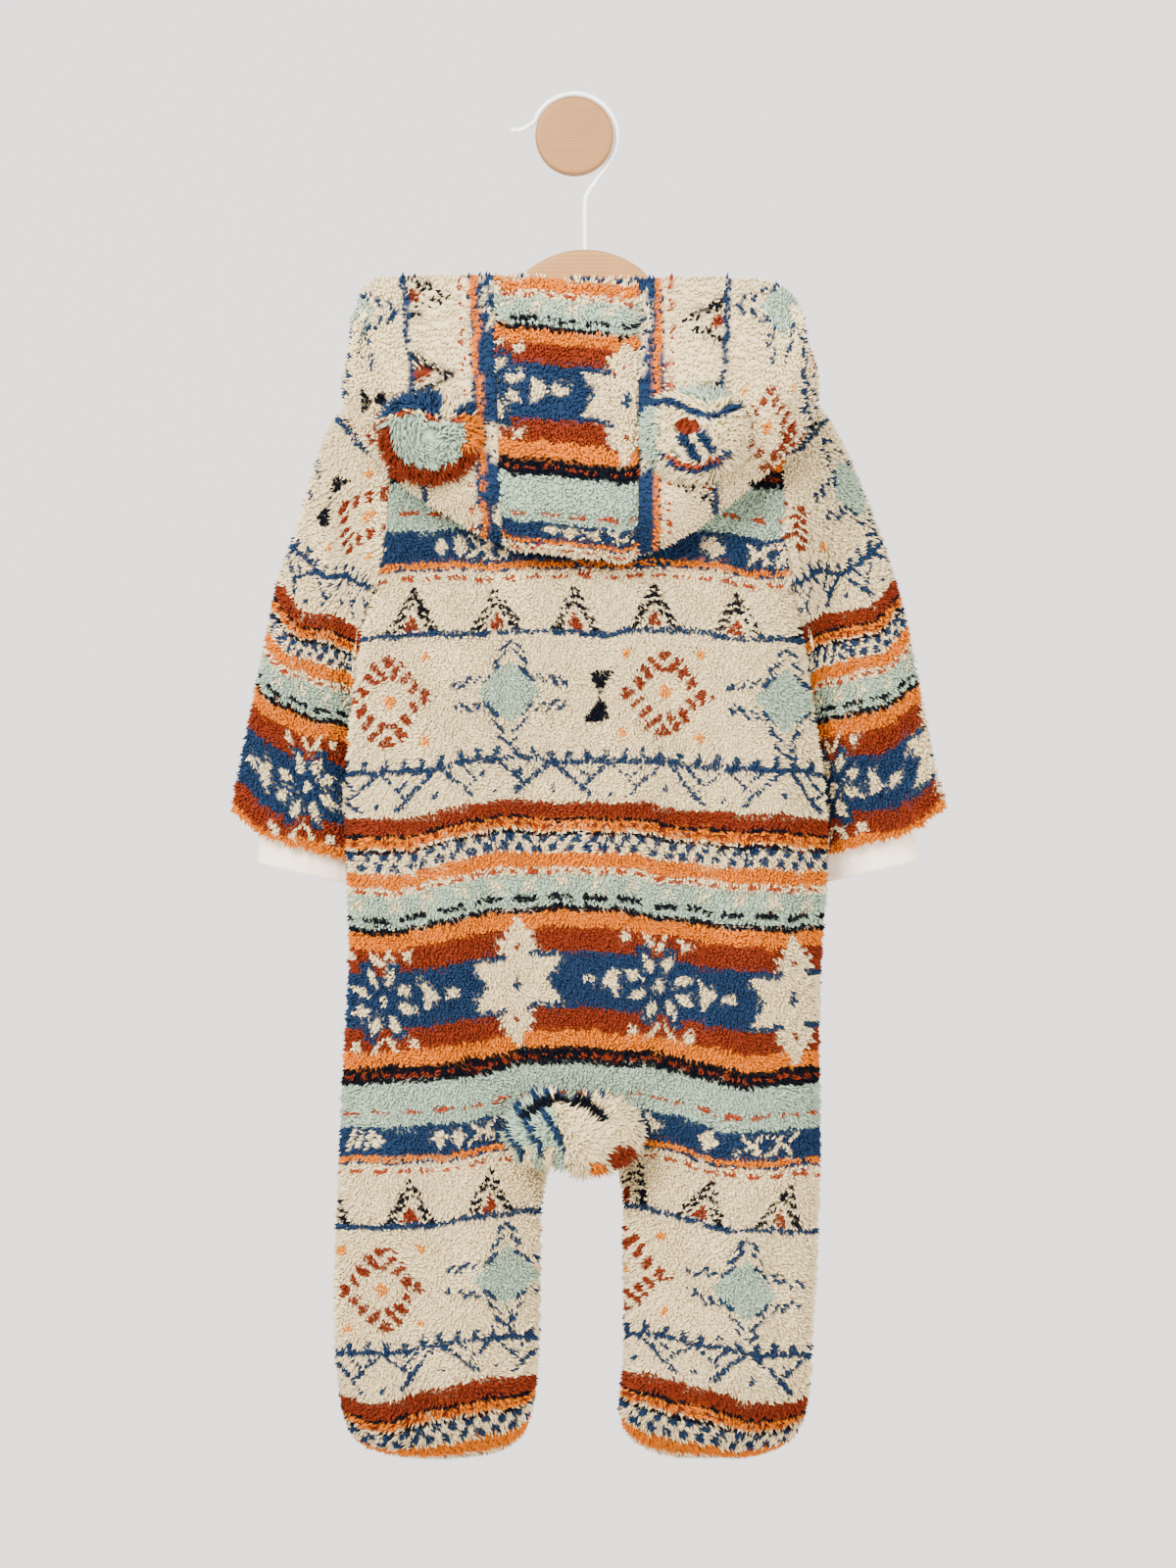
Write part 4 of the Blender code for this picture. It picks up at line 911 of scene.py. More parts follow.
@dataclass
class HoodForm:
    """The hood, fallen open on the back, in columns round the neck."""

    def neck(self, stations: Array) -> Array:
        """Places on the neck's edge at each station."""
        form = BodyForm(columns=20, upper_rows=6, levels=(UNDERARM - 4,))
        points, keys = [], []
        for side, sign, middle in (("left", -1, middle_left), ("right", 1, middle_right)):
            column = form.columns * 2 // 5
            plan = form.plan(side, NECK_BACK, middle_back)[:2]
            back = form.panel(plan, 1, (BACK_CREASES[0],), 0).place[0, column:]
            plan = form.plan(side, NECK_FRONT, middle)[:2]
            sink = lap_sink(plan) if side == "right" else 0.0
            front = form.panel(plan, -1, (BACK_CREASES[0],), 0, sink).place[0, column:]
            for part, first, last in ((back, 4.0, 0.0), (front, 4.0, 8.0)):
                points.append(part)
                keys.append(sign * np.linspace(first, last, len(part)))
        keys, points = np.concatenate(keys), np.vstack(points)
        keys, first = np.unique(keys, return_index=True)
        points = points[first]
        points[np.isclose(np.abs(keys), 4), 1] = HANG_Y
        return np.column_stack([np.interp(stations, keys, points[:, i]) for i in range(3)])

    def surface(self, stations: Array, rows: Array) -> Array:
        """Grid of the hood: a cubic curve per station through eight guide points.

        They are the neck, the crest over it, the inner layer, the turn before the
        fold, the fold, the turn after it, the outer layer and the face edge.

        Args:
            stations: places round the neck.
            rows: fractions from the neck to the face edge.
        Returns:
            Places, rows by stations.
        """
        neck = self.neck(stations) + [0, 0, 0.3]
        fold = smooth(HOOD_FOLD, stations)
        edge = smooth(HOOD_EDGE, stations) + [CENTRE_X, 0, 0]
        middle_y = (HOOD_INNER_Y + HOOD_OUTER_Y) / 2
        fold = np.column_stack([fold[:, 0] + CENTRE_X, 0 * stations + middle_y, fold[:, 1]])
        crest = neck + [0, -7, 6]
        half = 0.5 * (crest + fold)
        half[:, 1] = HOOD_INNER_Y
        flat_gap = np.linalg.norm((edge - fold)[:, [0, 2]], axis=1)
        turn = np.minimum(HOOD_TURN, 0.35 * flat_gap)[:, None]
        turn_in = fold + turn * unit((crest - fold) * [1, 0, 1])
        turn_in[:, 1] = HOOD_INNER_Y - 1
        turn_out = fold + turn * unit((edge - fold) * [1, 0, 1])
        turn_out[:, 1] = HOOD_OUTER_Y + 1
        high = 0.5 * (fold + edge)
        high[:, 1] = HOOD_OUTER_Y
        guides = np.array([neck, crest, half, turn_in, fold, turn_out, high, edge])
        straight = neck + (edge - neck) * np.linspace(0, 1, len(guides))[:, None, None]
        rise = np.column_stack([0 * stations, 5 * ease(np.abs(stations), 4, 5.5), 0 * stations + 5])
        straight = straight + rise * np.array([0, 1, 0.8, 0.6, 0.5, 0.4, 0.2, 0])[:, None, None]
        single = ease(np.abs(stations), *HOOD_OPEN)[None, :, None]
        guides = guides * (1 - single) + straight * single
        keys = np.array([0, 0.09, 0.27, 0.43, 0.5, 0.57, 0.77, 1])
        table = np.column_stack([keys, guides.reshape(len(guides), -1)])
        return smooth(table, rows).reshape(len(rows), len(stations), 3)

    def panel(self, stations: Array, count: int = 66) -> Panel:
        """One piece of the hood with its creases and its print.

        The middle strip's bands run across it, and the sides' bands run down them.
        """
        even = np.linspace(0, 1, count + 1)
        rows = 0.5 * even + 0.5 * np.interp(even, [0, 0.36, 0.64, 1], [0, 0.43, 0.57, 1])
        place = self.surface(stations, rows)
        after, before = np.minimum(rows + 0.004, 1), np.maximum(rows - 0.004, 0)
        down = self.surface(stations, after) - self.surface(stations, before)
        across = self.surface(stations + 0.02, rows) - self.surface(stations - 0.02, rows)
        normal = unit(np.cross(across, down))
        run = lengths(place, 0)
        fold = np.array([np.interp(0.5, rows, run[:, i]) for i in range(run.shape[1])])
        from_fold = run - fold
        side = stations[np.abs(stations).argmax()]
        if abs(side) <= HOOD_SEAM + 0.01:
            printed = np.stack([place[..., 0] + 40.5, np.interp(from_fold, *HOOD_PRINT)], -1)
        else:
            seam = lengths(place, 1)
            seam = seam[:, -1:] - seam if side < 0 else seam
            level = place[..., 2]
            printed = np.stack([-30.0 - level if side < 0 else 151.5 + level, 9.5 + seam], -1)
        thick = np.where(rows[:, None] < 0.40, np.where(abs(stations) > 2.6, 0.9, 0.35), 1.0)
        thick = np.where(rows[:, None] < 0.05, 0.0, thick)
        panel = Panel(place, normal, printed, True, thick=thick, hem=True)
        terms = np.stack(np.broadcast_arrays(20 * stations, 100 * rows[:, None]), -1)
        seam_fade = ease(np.abs(np.abs(stations) - HOOD_SEAM), 0.0, 0.25)[None]
        fade = ease(run, 4, 20) * (0.35 + 0.65 * ease(run[-1] - run, 0, 12)) * seam_fade
        groove = 1.7 * ease(run, 4, 20) * ease(run[-1] - run, 0, 12) * (1 - seam_fade)
        return lift(panel, creased(terms, HOOD_CREASES) * fade - groove)


class Wire:
    """A shader socket that adds, multiplies and clamps with plain Python operators."""

    def __init__(self, nodes: "Nodes", socket: bpy.types.NodeSocket) -> None:
        """Holds an output of one of the nodes."""
        self.nodes, self.socket = nodes, socket

    def maths(self, operation: str, *values: "Wire | float") -> "Wire":
        """One Math node on this socket and the values given."""
        inputs = {i: value for i, value in enumerate((self,) + values)}
        return self.nodes.add("ShaderNodeMath", {"operation": operation}, inputs)

    def __add__(self, other: "Wire | float") -> "Wire":
        """Sum."""
        return self.maths("ADD", other)

    def __mul__(self, other: "Wire | float") -> "Wire":
        """Product."""
        return self.maths("MULTIPLY", other)

    def __sub__(self, other: "Wire | float") -> "Wire":
        """Difference."""
        return self.maths("SUBTRACT", other)

    def __rsub__(self, other: "Wire | float") -> "Wire":
        """Difference."""
        return (self * -1.0) + other

    def clamp(self, low: float, high: float) -> "Wire":
        """The value held between low and high."""
        return self.maths("MAXIMUM", low).maths("MINIMUM", high)

    __radd__, __rmul__ = __add__, __mul__


class Nodes:
    """The node tree of one material."""

    def __init__(self, name: str) -> None:
        """Makes the material."""
        self.material = bpy.data.materials.new(name)
        self.material.use_nodes = True
        self.tree = self.material.node_tree
        self.shader = self.tree.nodes["Principled BSDF"]

    def add(
        self, kind: str, settings: dict | None = None, inputs: dict | None = None, out: int | str = 0,
    ) -> Wire:
        """Adds a node, its settings first and then its sockets.

        Args:
            kind: the node's type.
            settings: attributes of the node.
            inputs: values or wires for its sockets, by name or place.
            out: name or place of the output that is used.
        Returns:
            That output.
        """
        node = self.tree.nodes.new(kind)
        for name, value in (settings or {}).items():
            if name == "stops":
                ramp = node.color_ramp
                for place, colour in value[len(ramp.elements):]:
                    ramp.elements.new(place)
                for element, (place, colour) in zip(ramp.elements, value):
                    element.position, element.color = place, (*colour, 1)
            else:
                setattr(node, name, value)
        for name, value in (inputs or {}).items():
            self.feed(node.inputs[name], value)
        return Wire(self, node.outputs[out])

    def feed(self, socket: bpy.types.NodeSocket, value: Wire | float | str | tuple) -> None:
        """Links a wire to a socket, or sets its value."""
        if isinstance(value, Wire):
            self.tree.links.new(value.socket, socket)
        elif isinstance(value, tuple) and len(value) == 3 and socket.type == "RGBA":
            socket.default_value = (*value, 1)
        else:
            socket.default_value = value

    def shade(self, **values) -> Material:
        """Sets the shader's sockets, with spaces for their underscores, and returns the material."""
        for name, value in values.items():
            self.feed(self.shader.inputs[name.replace("_", " ")], value)
        return self.material

    def place(self) -> Wire:
        """Object coordinates."""
        return self.add("ShaderNodeTexCoord", out="Object")

    def noise(self, scale: float, detail: float = 2.0, stretch: tuple = (1, 1, 1)) -> Wire:
        """Noise on object coordinates, stretched along the axes."""
        turned = self.add("ShaderNodeMapping", inputs={"Vector": self.place(), "Scale": stretch})
        sockets = {"Vector": turned, "Scale": scale, "Detail": detail}
        return self.add("ShaderNodeTexNoise", inputs=sockets, out="Fac")

    def grey(self, share: Wire) -> Wire:
        """A grey of the given brightness."""
        return self.add("ShaderNodeCombineColor", inputs={0: share, 1: share, 2: share})

    def mix(
        self, share: Wire | float, first: Wire | tuple, second: Wire | tuple, blend: str = "MIX",
    ) -> Wire:
        """Mixes two colours by a share, or multiplies or overlays them."""
        settings = {"data_type": "RGBA", "blend_type": blend}
        return self.add("ShaderNodeMix", settings, {0: share, 6: first, 7: second}, out=2)

    def attribute(self, name: str, out: str = "Color") -> Wire:
        """A named attribute of the piece."""
        return self.add("ShaderNodeAttribute", {"attribute_name": name}, out=out)

    def bump(self, height: Wire, distance: float, strength: float = 1.0) -> Wire:
        """A Bump node with its distance in metres."""
        sockets = {"Height": height, "Distance": distance, "Strength": strength}
        return self.add("ShaderNodeBump", inputs=sockets, out="Normal")


@dataclass(frozen=True)
class FleeceFinish:
    """Curly pile: the print's colour with painted shade that darkens it towards the root, and fine
    fibres.

    Attributes:
        name: name of the material.
        root: share of the colour that the painted shade leaves at the root.
    """

    name: str
    root: float = 0.30

    def material(self) -> Material:
        """Colour = print * (root + (1 - root) * height) * a little noise; the root term is painted shade.
        """
        nodes = Nodes(self.name)
        height = nodes.attribute("height", "Fac")
        fine = nodes.noise(420.0, 3.0)
        soft = nodes.noise(38.0, 2.0)
        # Painted shade from root to tip, times an uneven tone from two noises.
        light = (height * (1 - self.root) + self.root) * (0.86 + 0.28 * fine) * (0.93 + 0.14 * soft)
        shade = nodes.grey(light)
        colour = nodes.mix(1.0, nodes.attribute("print"), shade, "MULTIPLY")
        fibres = nodes.noise(1500.0, 2.0)
        return nodes.shade(Base_Color=colour, Roughness=0.93, Normal=nodes.bump(fibres, 0.0004, 0.5),
                           Specular_IOR_Level=0.08)


@dataclass(frozen=True)
class JerseyFinish:
    """Fine cream jersey: vertical wales with small stitches."""

    name: str = "cream_jersey"

    def material(self) -> Material:
        """Wales are bands across the wrist on the piece's own map, with a fine noise."""
        nodes = Nodes(self.name)
        map_place = nodes.add("ShaderNodeUVMap", {"uv_map": "cloth"})
        wales = nodes.add("ShaderNodeTexWave", {"wave_type": "BANDS", "bands_direction": "X"},
                          {"Vector": map_place, "Scale": 330.0, "Distortion": 0.6, "Detail": 1.0})
        wide = nodes.noise(60.0, 3.0)
        shade = (0.93 + 0.07 * wales) * (0.94 + 0.12 * wide)
        colour = nodes.mix(1.0, (0.80, 0.685, 0.53), nodes.grey(shade), "MULTIPLY")
        return nodes.shade(Base_Color=colour, Roughness=0.88, Normal=nodes.bump(wales, 0.00025, 0.5),
                           Sheen_Weight=0.12, Specular_IOR_Level=0.25)


@dataclass(frozen=True)
class WoodFinish:
    """Light wood with long growth rings and short pores.

    Attributes:
        name: name of the material.
        light, dark: the wood between and in its rings.
        centre: the tree's middle, in metres.
        stretch: scale along each axis, small along the grain.
        rings: rings in a metre.
    """

    name: str
    light: tuple[float, float, float]
    dark: tuple[float, float, float]
    centre: tuple[float, float, float]
    stretch: tuple[float, float, float]
    rings: float

    def material(self) -> Material:
        """Rings are a wave on stretched object coordinates, bent by noise."""
        nodes = Nodes(self.name)
        turned = nodes.add("ShaderNodeMapping", inputs={
            "Vector": nodes.place(), "Location": self.centre, "Scale": self.stretch})
        rings = nodes.add("ShaderNodeTexWave", {"wave_type": "RINGS", "rings_direction": "SPHERICAL"},
                          {"Vector": turned, "Scale": self.rings, "Distortion": 2.2, "Detail": 2.5,
                           "Detail Scale": 1.6})
        pores = nodes.noise(240.0, 3.0, tuple(0.12 + 0.88 * s for s in self.stretch))
        wide = nodes.noise(18.0, 2.0)
        share = (0.55 * rings + 0.35 * pores + 0.35 * wide - 0.12).clamp(0.0, 1.0)
        colour = nodes.mix(share, self.light, self.dark)
        return nodes.shade(Base_Color=colour, Roughness=0.5 + 0.12 * pores,
                           Normal=nodes.bump(pores, 0.0002, 0.4), Specular_IOR_Level=0.35)


@dataclass(frozen=True)
class GlossFinish:
    """Coated wire or a moulded stud: one colour, faintly uneven.

    Attributes:
        name: name of the material.
        colour: its colour.
        rough: its roughness.
        metal: 1 for bare metal.
    """

    name: str
    colour: tuple[float, float, float]
    rough: float
    metal: float = 0.0

    def material(self) -> Material:
        """Noise shifts the colour and the roughness a little."""
        nodes = Nodes(self.name)
        uneven = nodes.noise(300.0, 3.0)
        colour = nodes.mix(0.12 * uneven, self.colour, tuple(0.7 * c for c in self.colour))
        return nodes.shade(Base_Color=colour, Roughness=self.rough + 0.08 * uneven, Metallic=self.metal,
                           Normal=nodes.bump(uneven, 0.0001, 0.2))


def new_object(
    name: str, points: Array, faces: Sequence[Array], finish: Material,
) -> Item:
    """A mesh object from whole arrays, at the origin, shaded smooth.

    Args:
        name: its name.
        points: places in millimetres.
        faces: arrays of corner numbers, one for each count of corners.
        finish: its material.
    Returns:
        The object, linked to the scene.
    """
    mesh = bpy.data.meshes.new(name)
    mesh.vertices.add(len(points))
    mesh.vertices.foreach_set("co", (points * MM).astype(np.float32).ravel())
    corners = np.concatenate([part.ravel() for part in faces]).astype(np.int32)
    totals = np.concatenate([np.full(len(part), part.shape[1]) for part in faces])
    mesh.loops.add(len(corners))
    mesh.loops.foreach_set("vertex_index", corners)
    mesh.polygons.add(len(totals))
    starts = np.concatenate([[0], totals.cumsum()[:-1]]).astype(np.int32)
    mesh.polygons.foreach_set("loop_start", starts)
    mesh.polygons.foreach_set("use_smooth", np.ones(len(totals), bool))
    mesh.update(calc_edges=True)
    mesh.validate()
    mesh.materials.append(finish)
    made = bpy.data.objects.new(name, mesh)
    bpy.context.scene.collection.objects.link(made)
    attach(made, "root")
    return made


def set_attributes(item: Item, colours: Array, height: Array) -> None:
    """Stores the print's colour and the height in the pile at each point, which sets the painted shade.
    """
    mesh = item.data
    print_layer = mesh.attributes.new("print", "FLOAT_COLOR", "POINT")
    opaque = np.column_stack([colours, np.ones(len(colours))])
    print_layer.data.foreach_set("color", opaque.astype(np.float32).ravel())
    height_layer = mesh.attributes.new("height", "FLOAT", "POINT")
    height_layer.data.foreach_set("value", height.astype(np.float32))


def set_map(item: Item, name: str, places: Array) -> None:
    """Stores a map of the piece, a place for each point."""
    mesh = item.data
    layer = mesh.uv_layers.new(name=name)
    corner = np.empty(len(mesh.loops), np.int32)
    mesh.loops.foreach_get("vertex_index", corner)
    layer.data.foreach_set("uv", places[corner].astype(np.float32).ravel())


# Places in the pile's height whose painted shade the cloth takes: its outer face under the pile is
# painted darker, its inner side nearly unshaded.
OUTER_LIGHT = 0.35
INNER_LIGHT = 0.95


@dataclass(frozen=True)
class Shell:
    """A wall of cloth on one or more panels whose edges may be joined.

    Attributes:
        rise: how far the outer face lies from the panel, less than 0 for inside it.
        wall: thickness of the wall.
    """

    rise: float = -0.5
    wall: float = 2.3

    def build(
        self, name: str, panels: Sequence[Panel], finish: Material,
    ) -> Item:
        """Outer faces, inner faces moved in along the normals, and the rims between.

        Args:
            name: name of the piece.
            panels: its grids; points that coincide become one.
            finish: its material.
        Returns:
            The closed shell.
        """
        points, normals, colours, maps, faces, start = [], [], [], [], [], 0
        for panel in (part.closed() for part in panels):
            rows, columns = panel.place.shape[:2]
            numbers = start + np.arange(rows * columns).reshape(rows, columns)
            corners = [numbers[:-1, :-1], numbers[:-1, 1:], numbers[1:, 1:], numbers[1:, :-1]]
            corners = [corners[i] for i in ((0, 3, 2, 1) if panel.flip else (0, 1, 2, 3))]
            faces.append(np.stack([part.ravel() for part in corners], 1))
            points.append(panel.place.reshape(-1, 3))
            normals.append(panel.normal.reshape(-1, 3))
            colours.append(panel.colours(panel.place, panel.printed).reshape(-1, 3))
            maps.append(panel.printed.reshape(-1, 2))
            start += rows * columns
        points, normals, colours, maps, faces = (
            np.concatenate(part) for part in (points, normals, colours, maps, faces))
        _, first, join = np.unique(
            np.round(points, 2), axis=0, return_index=True, return_inverse=True)
        join = join.ravel()
        summed = np.zeros((len(first), 3))
        np.add.at(summed, join, normals)
        points, normals, colours, maps = points[first], unit(summed), colours[first], maps[first]
        faces = join[faces]
        edges = np.vstack([faces[:, [i, (i + 1) % 4]] for i in range(4)])
        low, high = np.sort(edges, 1).T
        key = low.astype(np.int64) * len(points) + high
        found, counts = np.unique(key, return_counts=True)
        rim = edges[np.isin(key, found[counts == 1]) & (edges[:, 0] != edges[:, 1])]
        count = len(points)
        walls = np.column_stack([rim[:, 1], rim[:, 0], rim[:, 0] + count, rim[:, 1] + count])
        outer = points + self.rise * normals
        inner = outer - self.wall * normals
        faces = np.vstack([faces, faces[:, ::-1] + count, walls])
        made = new_object(name, np.vstack([outer, inner]), [faces], finish)
        # The outer face takes the painted shade of the pile's lower part; the cream inner face is nearly
        # unshaded.
        cream = np.zeros((count, 3)) + CREAM.linear
        set_attributes(made, np.vstack([colours, cream]), np.repeat([OUTER_LIGHT, INNER_LIGHT], count))
        set_map(made, "cloth", np.vstack([maps, maps]) * MM)
        return made


@dataclass(frozen=True)
class Pile:
    """Curls of the nap: fine closed locks that fall down the cloth and gather in clumps.

    Each lock is a slim pyramid of four faces from a root ring of three points.

    Attributes:
        spacing: distance between roots.
        length: length of a lock.
        seed: start of its random numbers.
        wild: how far the locks turn away from the fall of the cloth.
    """

    spacing: float = 1.45
    length: float = 4.6
    seed: int = 1
    wild: float = 1.0

    def roots(self, panel: Panel, rng: np.random.Generator) -> dict[str, Array]:
        """Roots on a jittered, staggered grid of equal steps over the panel.

        Args:
            panel: the cloth.
            rng: random numbers.
        Returns:
            Places, normals, directions, the print and its steps, and an own map.
        """
        rows, columns = panel.place.shape[:2]
        down, around = lengths(panel.place, 0).mean(1), lengths(panel.place, 1)
        width = around[:, -1]
        reached = np.arange(rows)[:, None] + 0.999 * around / np.maximum(width[:, None], 1e-6)
        count_v = max(2, round(down[-1] / self.spacing))
        count_u = max(2, round(np.percentile(width, 75) / self.spacing))
        size = (count_v, count_u)
        v = (np.arange(count_v)[:, None] + 0.5 + rng.uniform(-0.45, 0.45, size)) / count_v
        stagger = 0.25 * (1 - 2 * (np.arange(count_v) % 2))[:, None]
        u = (np.arange(count_u)[None] + 0.5 + stagger + rng.uniform(-0.4, 0.4, size)) / count_u
        v, u = np.clip(v, 0, 1).ravel(), np.clip(u, 0, 1).ravel()
        row = np.clip(np.interp(v * down[-1], down, np.arange(rows)), 0, rows - 1.001)
        i = row.astype(int)
        column = np.interp(i + 0.999 * u, reached.ravel(), np.arange(rows * columns)) - i * columns
        column = np.clip(column, 0, columns - 1.001)
        j = column.astype(int)
        a, b = (row - i)[:, None], (column - j)[:, None]

        def at(grid: Array) -> Array:
            """Values of the grid at the roots, blended from four corners."""
            return ((1 - a) * (1 - b) * grid[i, j] + (1 - a) * b * grid[i, j + 1]
                    + a * (1 - b) * grid[i + 1, j] + a * b * grid[i + 1, j + 1])

        share = np.minimum(1, width[i] / (0.97 * count_u * self.spacing))
        if panel.thick is not None:
            share = share * at(panel.thick[..., None])[:, 0]
        keep = rng.uniform(0, 1, len(v)) < share
        normal = unit(at(panel.normal))
        row_step, column_step = (at(np.gradient(panel.place, axis=axis)) for axis in (0, 1))
        fall = unit(row_step)
        found = {
            "place": at(panel.place), "normal": normal, "printed": at(panel.printed), "down": fall,
            "across": unit(np.cross(normal, fall)), "map": np.column_stack([u, 1 - v]),
            "step": np.tile([1 / count_u, 1 / count_v], (len(v), 1)), "end": down[-1] * (1 - v),
            "row_step": row_step, "column_step": column_step,
            "row_print": at(np.gradient(panel.printed, axis=0)),
            "column_print": at(np.gradient(panel.printed, axis=1)),
        }
        return {name: part[keep] for name, part in found.items()}

    @staticmethod
    def print_shift(root: dict[str, Array], offset: Array) -> Array:
        """How far an offset in space moves a place in the print.

        The offset is split on the grid's two steps by least squares, and the same
        shares of the print's steps are added up.
        """
        p, q = root["column_step"], root["row_step"]
        pp, qq, pq = (p * p).sum(1), (q * q).sum(1), (p * q).sum(1)
        op, oq = (offset * p).sum(1), (offset * q).sum(1)
        det = np.maximum(pp * qq - pq * pq, 1e-9)
        a, b = (op * qq - oq * pq) / det, (oq * pp - op * pq) / det
        shift = a[:, None] * root["column_print"] + b[:, None] * root["row_print"]
        return np.clip(shift, -6, 6)

    def locks(self, panel: Panel, rng: np.random.Generator) -> dict[str, Array]:
        """Points, colours, heights and map of four points for each root.

        The lean turns slowly over the cloth, and the tips draw to the crests of
        three crossed waves 4 to 9 mm long, which gather them into soft clumps. Locks at the crests are
        painted lighter and those between darker, as painted shade.
        """
        root = self.roots(panel, rng)
        x, z = root["printed"].T
        count = len(x)
        warp_x = 1.6 * np.sin(z / 7.1 + 0.8 * np.sin(x / 9.7)) + 0.7 * np.sin(z / 3.3 + x / 4.1)
        warp_z = 1.8 * np.sin(x / 6.3 + 0.9 * np.sin(z / 12.4)) + 0.8 * np.sin(x / 2.9 - z / 5.3)
        a = 2 * math.pi * (x + warp_x) / 4.3
        b = 2 * math.pi * (z + warp_z) / 6.9
        c = 2 * math.pi * (x + z + warp_x) / 8.7
        crest = 0.5 * np.cos(a) * np.cos(b) + 0.5 * np.cos(c)
        pull_x = -np.sin(a) * np.cos(b) - 0.4 * np.sin(c)
        pull_z = -np.cos(a) * np.sin(b) - 0.4 * np.sin(c)
        turn = 0.9 * np.sin(x / 19 + z / 26) + 0.8 * np.sin(x / 8.1 - z / 11.7)
        turn = turn + rng.normal(0, 0.42, count)
        lean = 0.62 + 0.14 * np.sin(x / 31 - z / 27) + rng.normal(0, 0.13, count)
        side = (self.wild * np.sin(turn) * lean + 0.30 * pull_x)[:, None]
        fall = (np.cos(turn * self.wild) * lean + 0.26 * pull_z)[:, None]
        if panel.hem:
            fall = fall + 1.1 * (1 - ease(root["end"], 0.5, 4.0))[:, None]
        flow = side * root["across"] + fall * root["down"]
        rise = root["normal"] * (0.95 + 0.25 * crest)[:, None]
        way = unit(rise + flow + rng.normal(0, 0.10, (count, 3)))
        size = self.length * (0.86 + 0.14 * crest + rng.normal(0, 0.09, count))
        size = np.clip(size, 0.5 * self.length, 1.3 * self.length)[:, None]
        first = unit(np.cross(way, rng.normal(0, 1, (count, 3))))
        second = np.cross(way, first)
        angles = np.arange(3) * 2 * math.pi / 3
        turned = np.column_stack([np.cos(angles), np.sin(angles)])
        ring = first[:, None] * turned[:, :1] + second[:, None] * turned[:, 1:]
        girth = 0.78 * self.spacing * (0.85 + rng.uniform(0, 0.3, count))[:, None, None]
        base = root["place"] - 1.0 * root["normal"]
        tip = base + size * way
        points = np.concatenate([base[:, None] + girth * ring, tip[:, None]], 1)
        spot = 0.6 * size * way
        seen = root["printed"] + self.print_shift(root, spot) + rng.normal(0, 0.1, (count, 2))
        colour = panel.colours(root["place"] + spot, seen)
        # Painted shade on the clumps: lighter at a crest, darker between them; the random part is uneven
        # tone.
        colour = colour * (0.94 + 0.10 * crest + rng.normal(0, 0.05, count))[:, None]
        # Roots at height 0 take the full painted shade, tips at 1 none.
        height = np.array([0, 0, 0, 1.0]) + 0 * x[:, None]
        step = root["step"][:, None]
        middle = root["map"][:, None]
        spot_map = np.concatenate([middle + 0.75 * step * turned, middle], 1)
        return {
            "points": points.reshape(-1, 3), "colours": np.repeat(np.clip(colour, 0, 1), 4, 0),
            "height": height.ravel(), "map": np.clip(spot_map.reshape(-1, 2), 0, 1),
        }

    def build(
        self, name: str, panels: Sequence[Panel], finish: Material,
    ) -> Item:
        """Joins the locks of some panels, side by side on one map.

        Args:
            name: name of the piece.
            panels: the cloth it stands on.
            finish: its material.
        Returns:
            The piece.
        """
        rng = np.random.default_rng(self.seed)
        parts = [self.locks(panel.closed(), rng) for panel in panels]
        for index, part in enumerate(parts):
            part["map"] = (part["map"] + [index, 0]) / [len(parts), 1]
        joined = {key: np.concatenate([part[key] for part in parts]) for key in parts[0]}
        start = 4 * np.arange(len(joined["points"]) // 4)[:, None]
        sides = [start + [i, (i + 1) % 3, 3] for i in range(3)] + [start + [2, 1, 0]]
        made = new_object(name, joined["points"], [np.vstack(sides)], finish)
        set_attributes(made, joined["colours"], joined["height"])
        set_map(made, "OFBake", joined["map"])
        LOG.info("%s: %d locks, %d triangles", name, len(start), 4 * len(start))
        return made


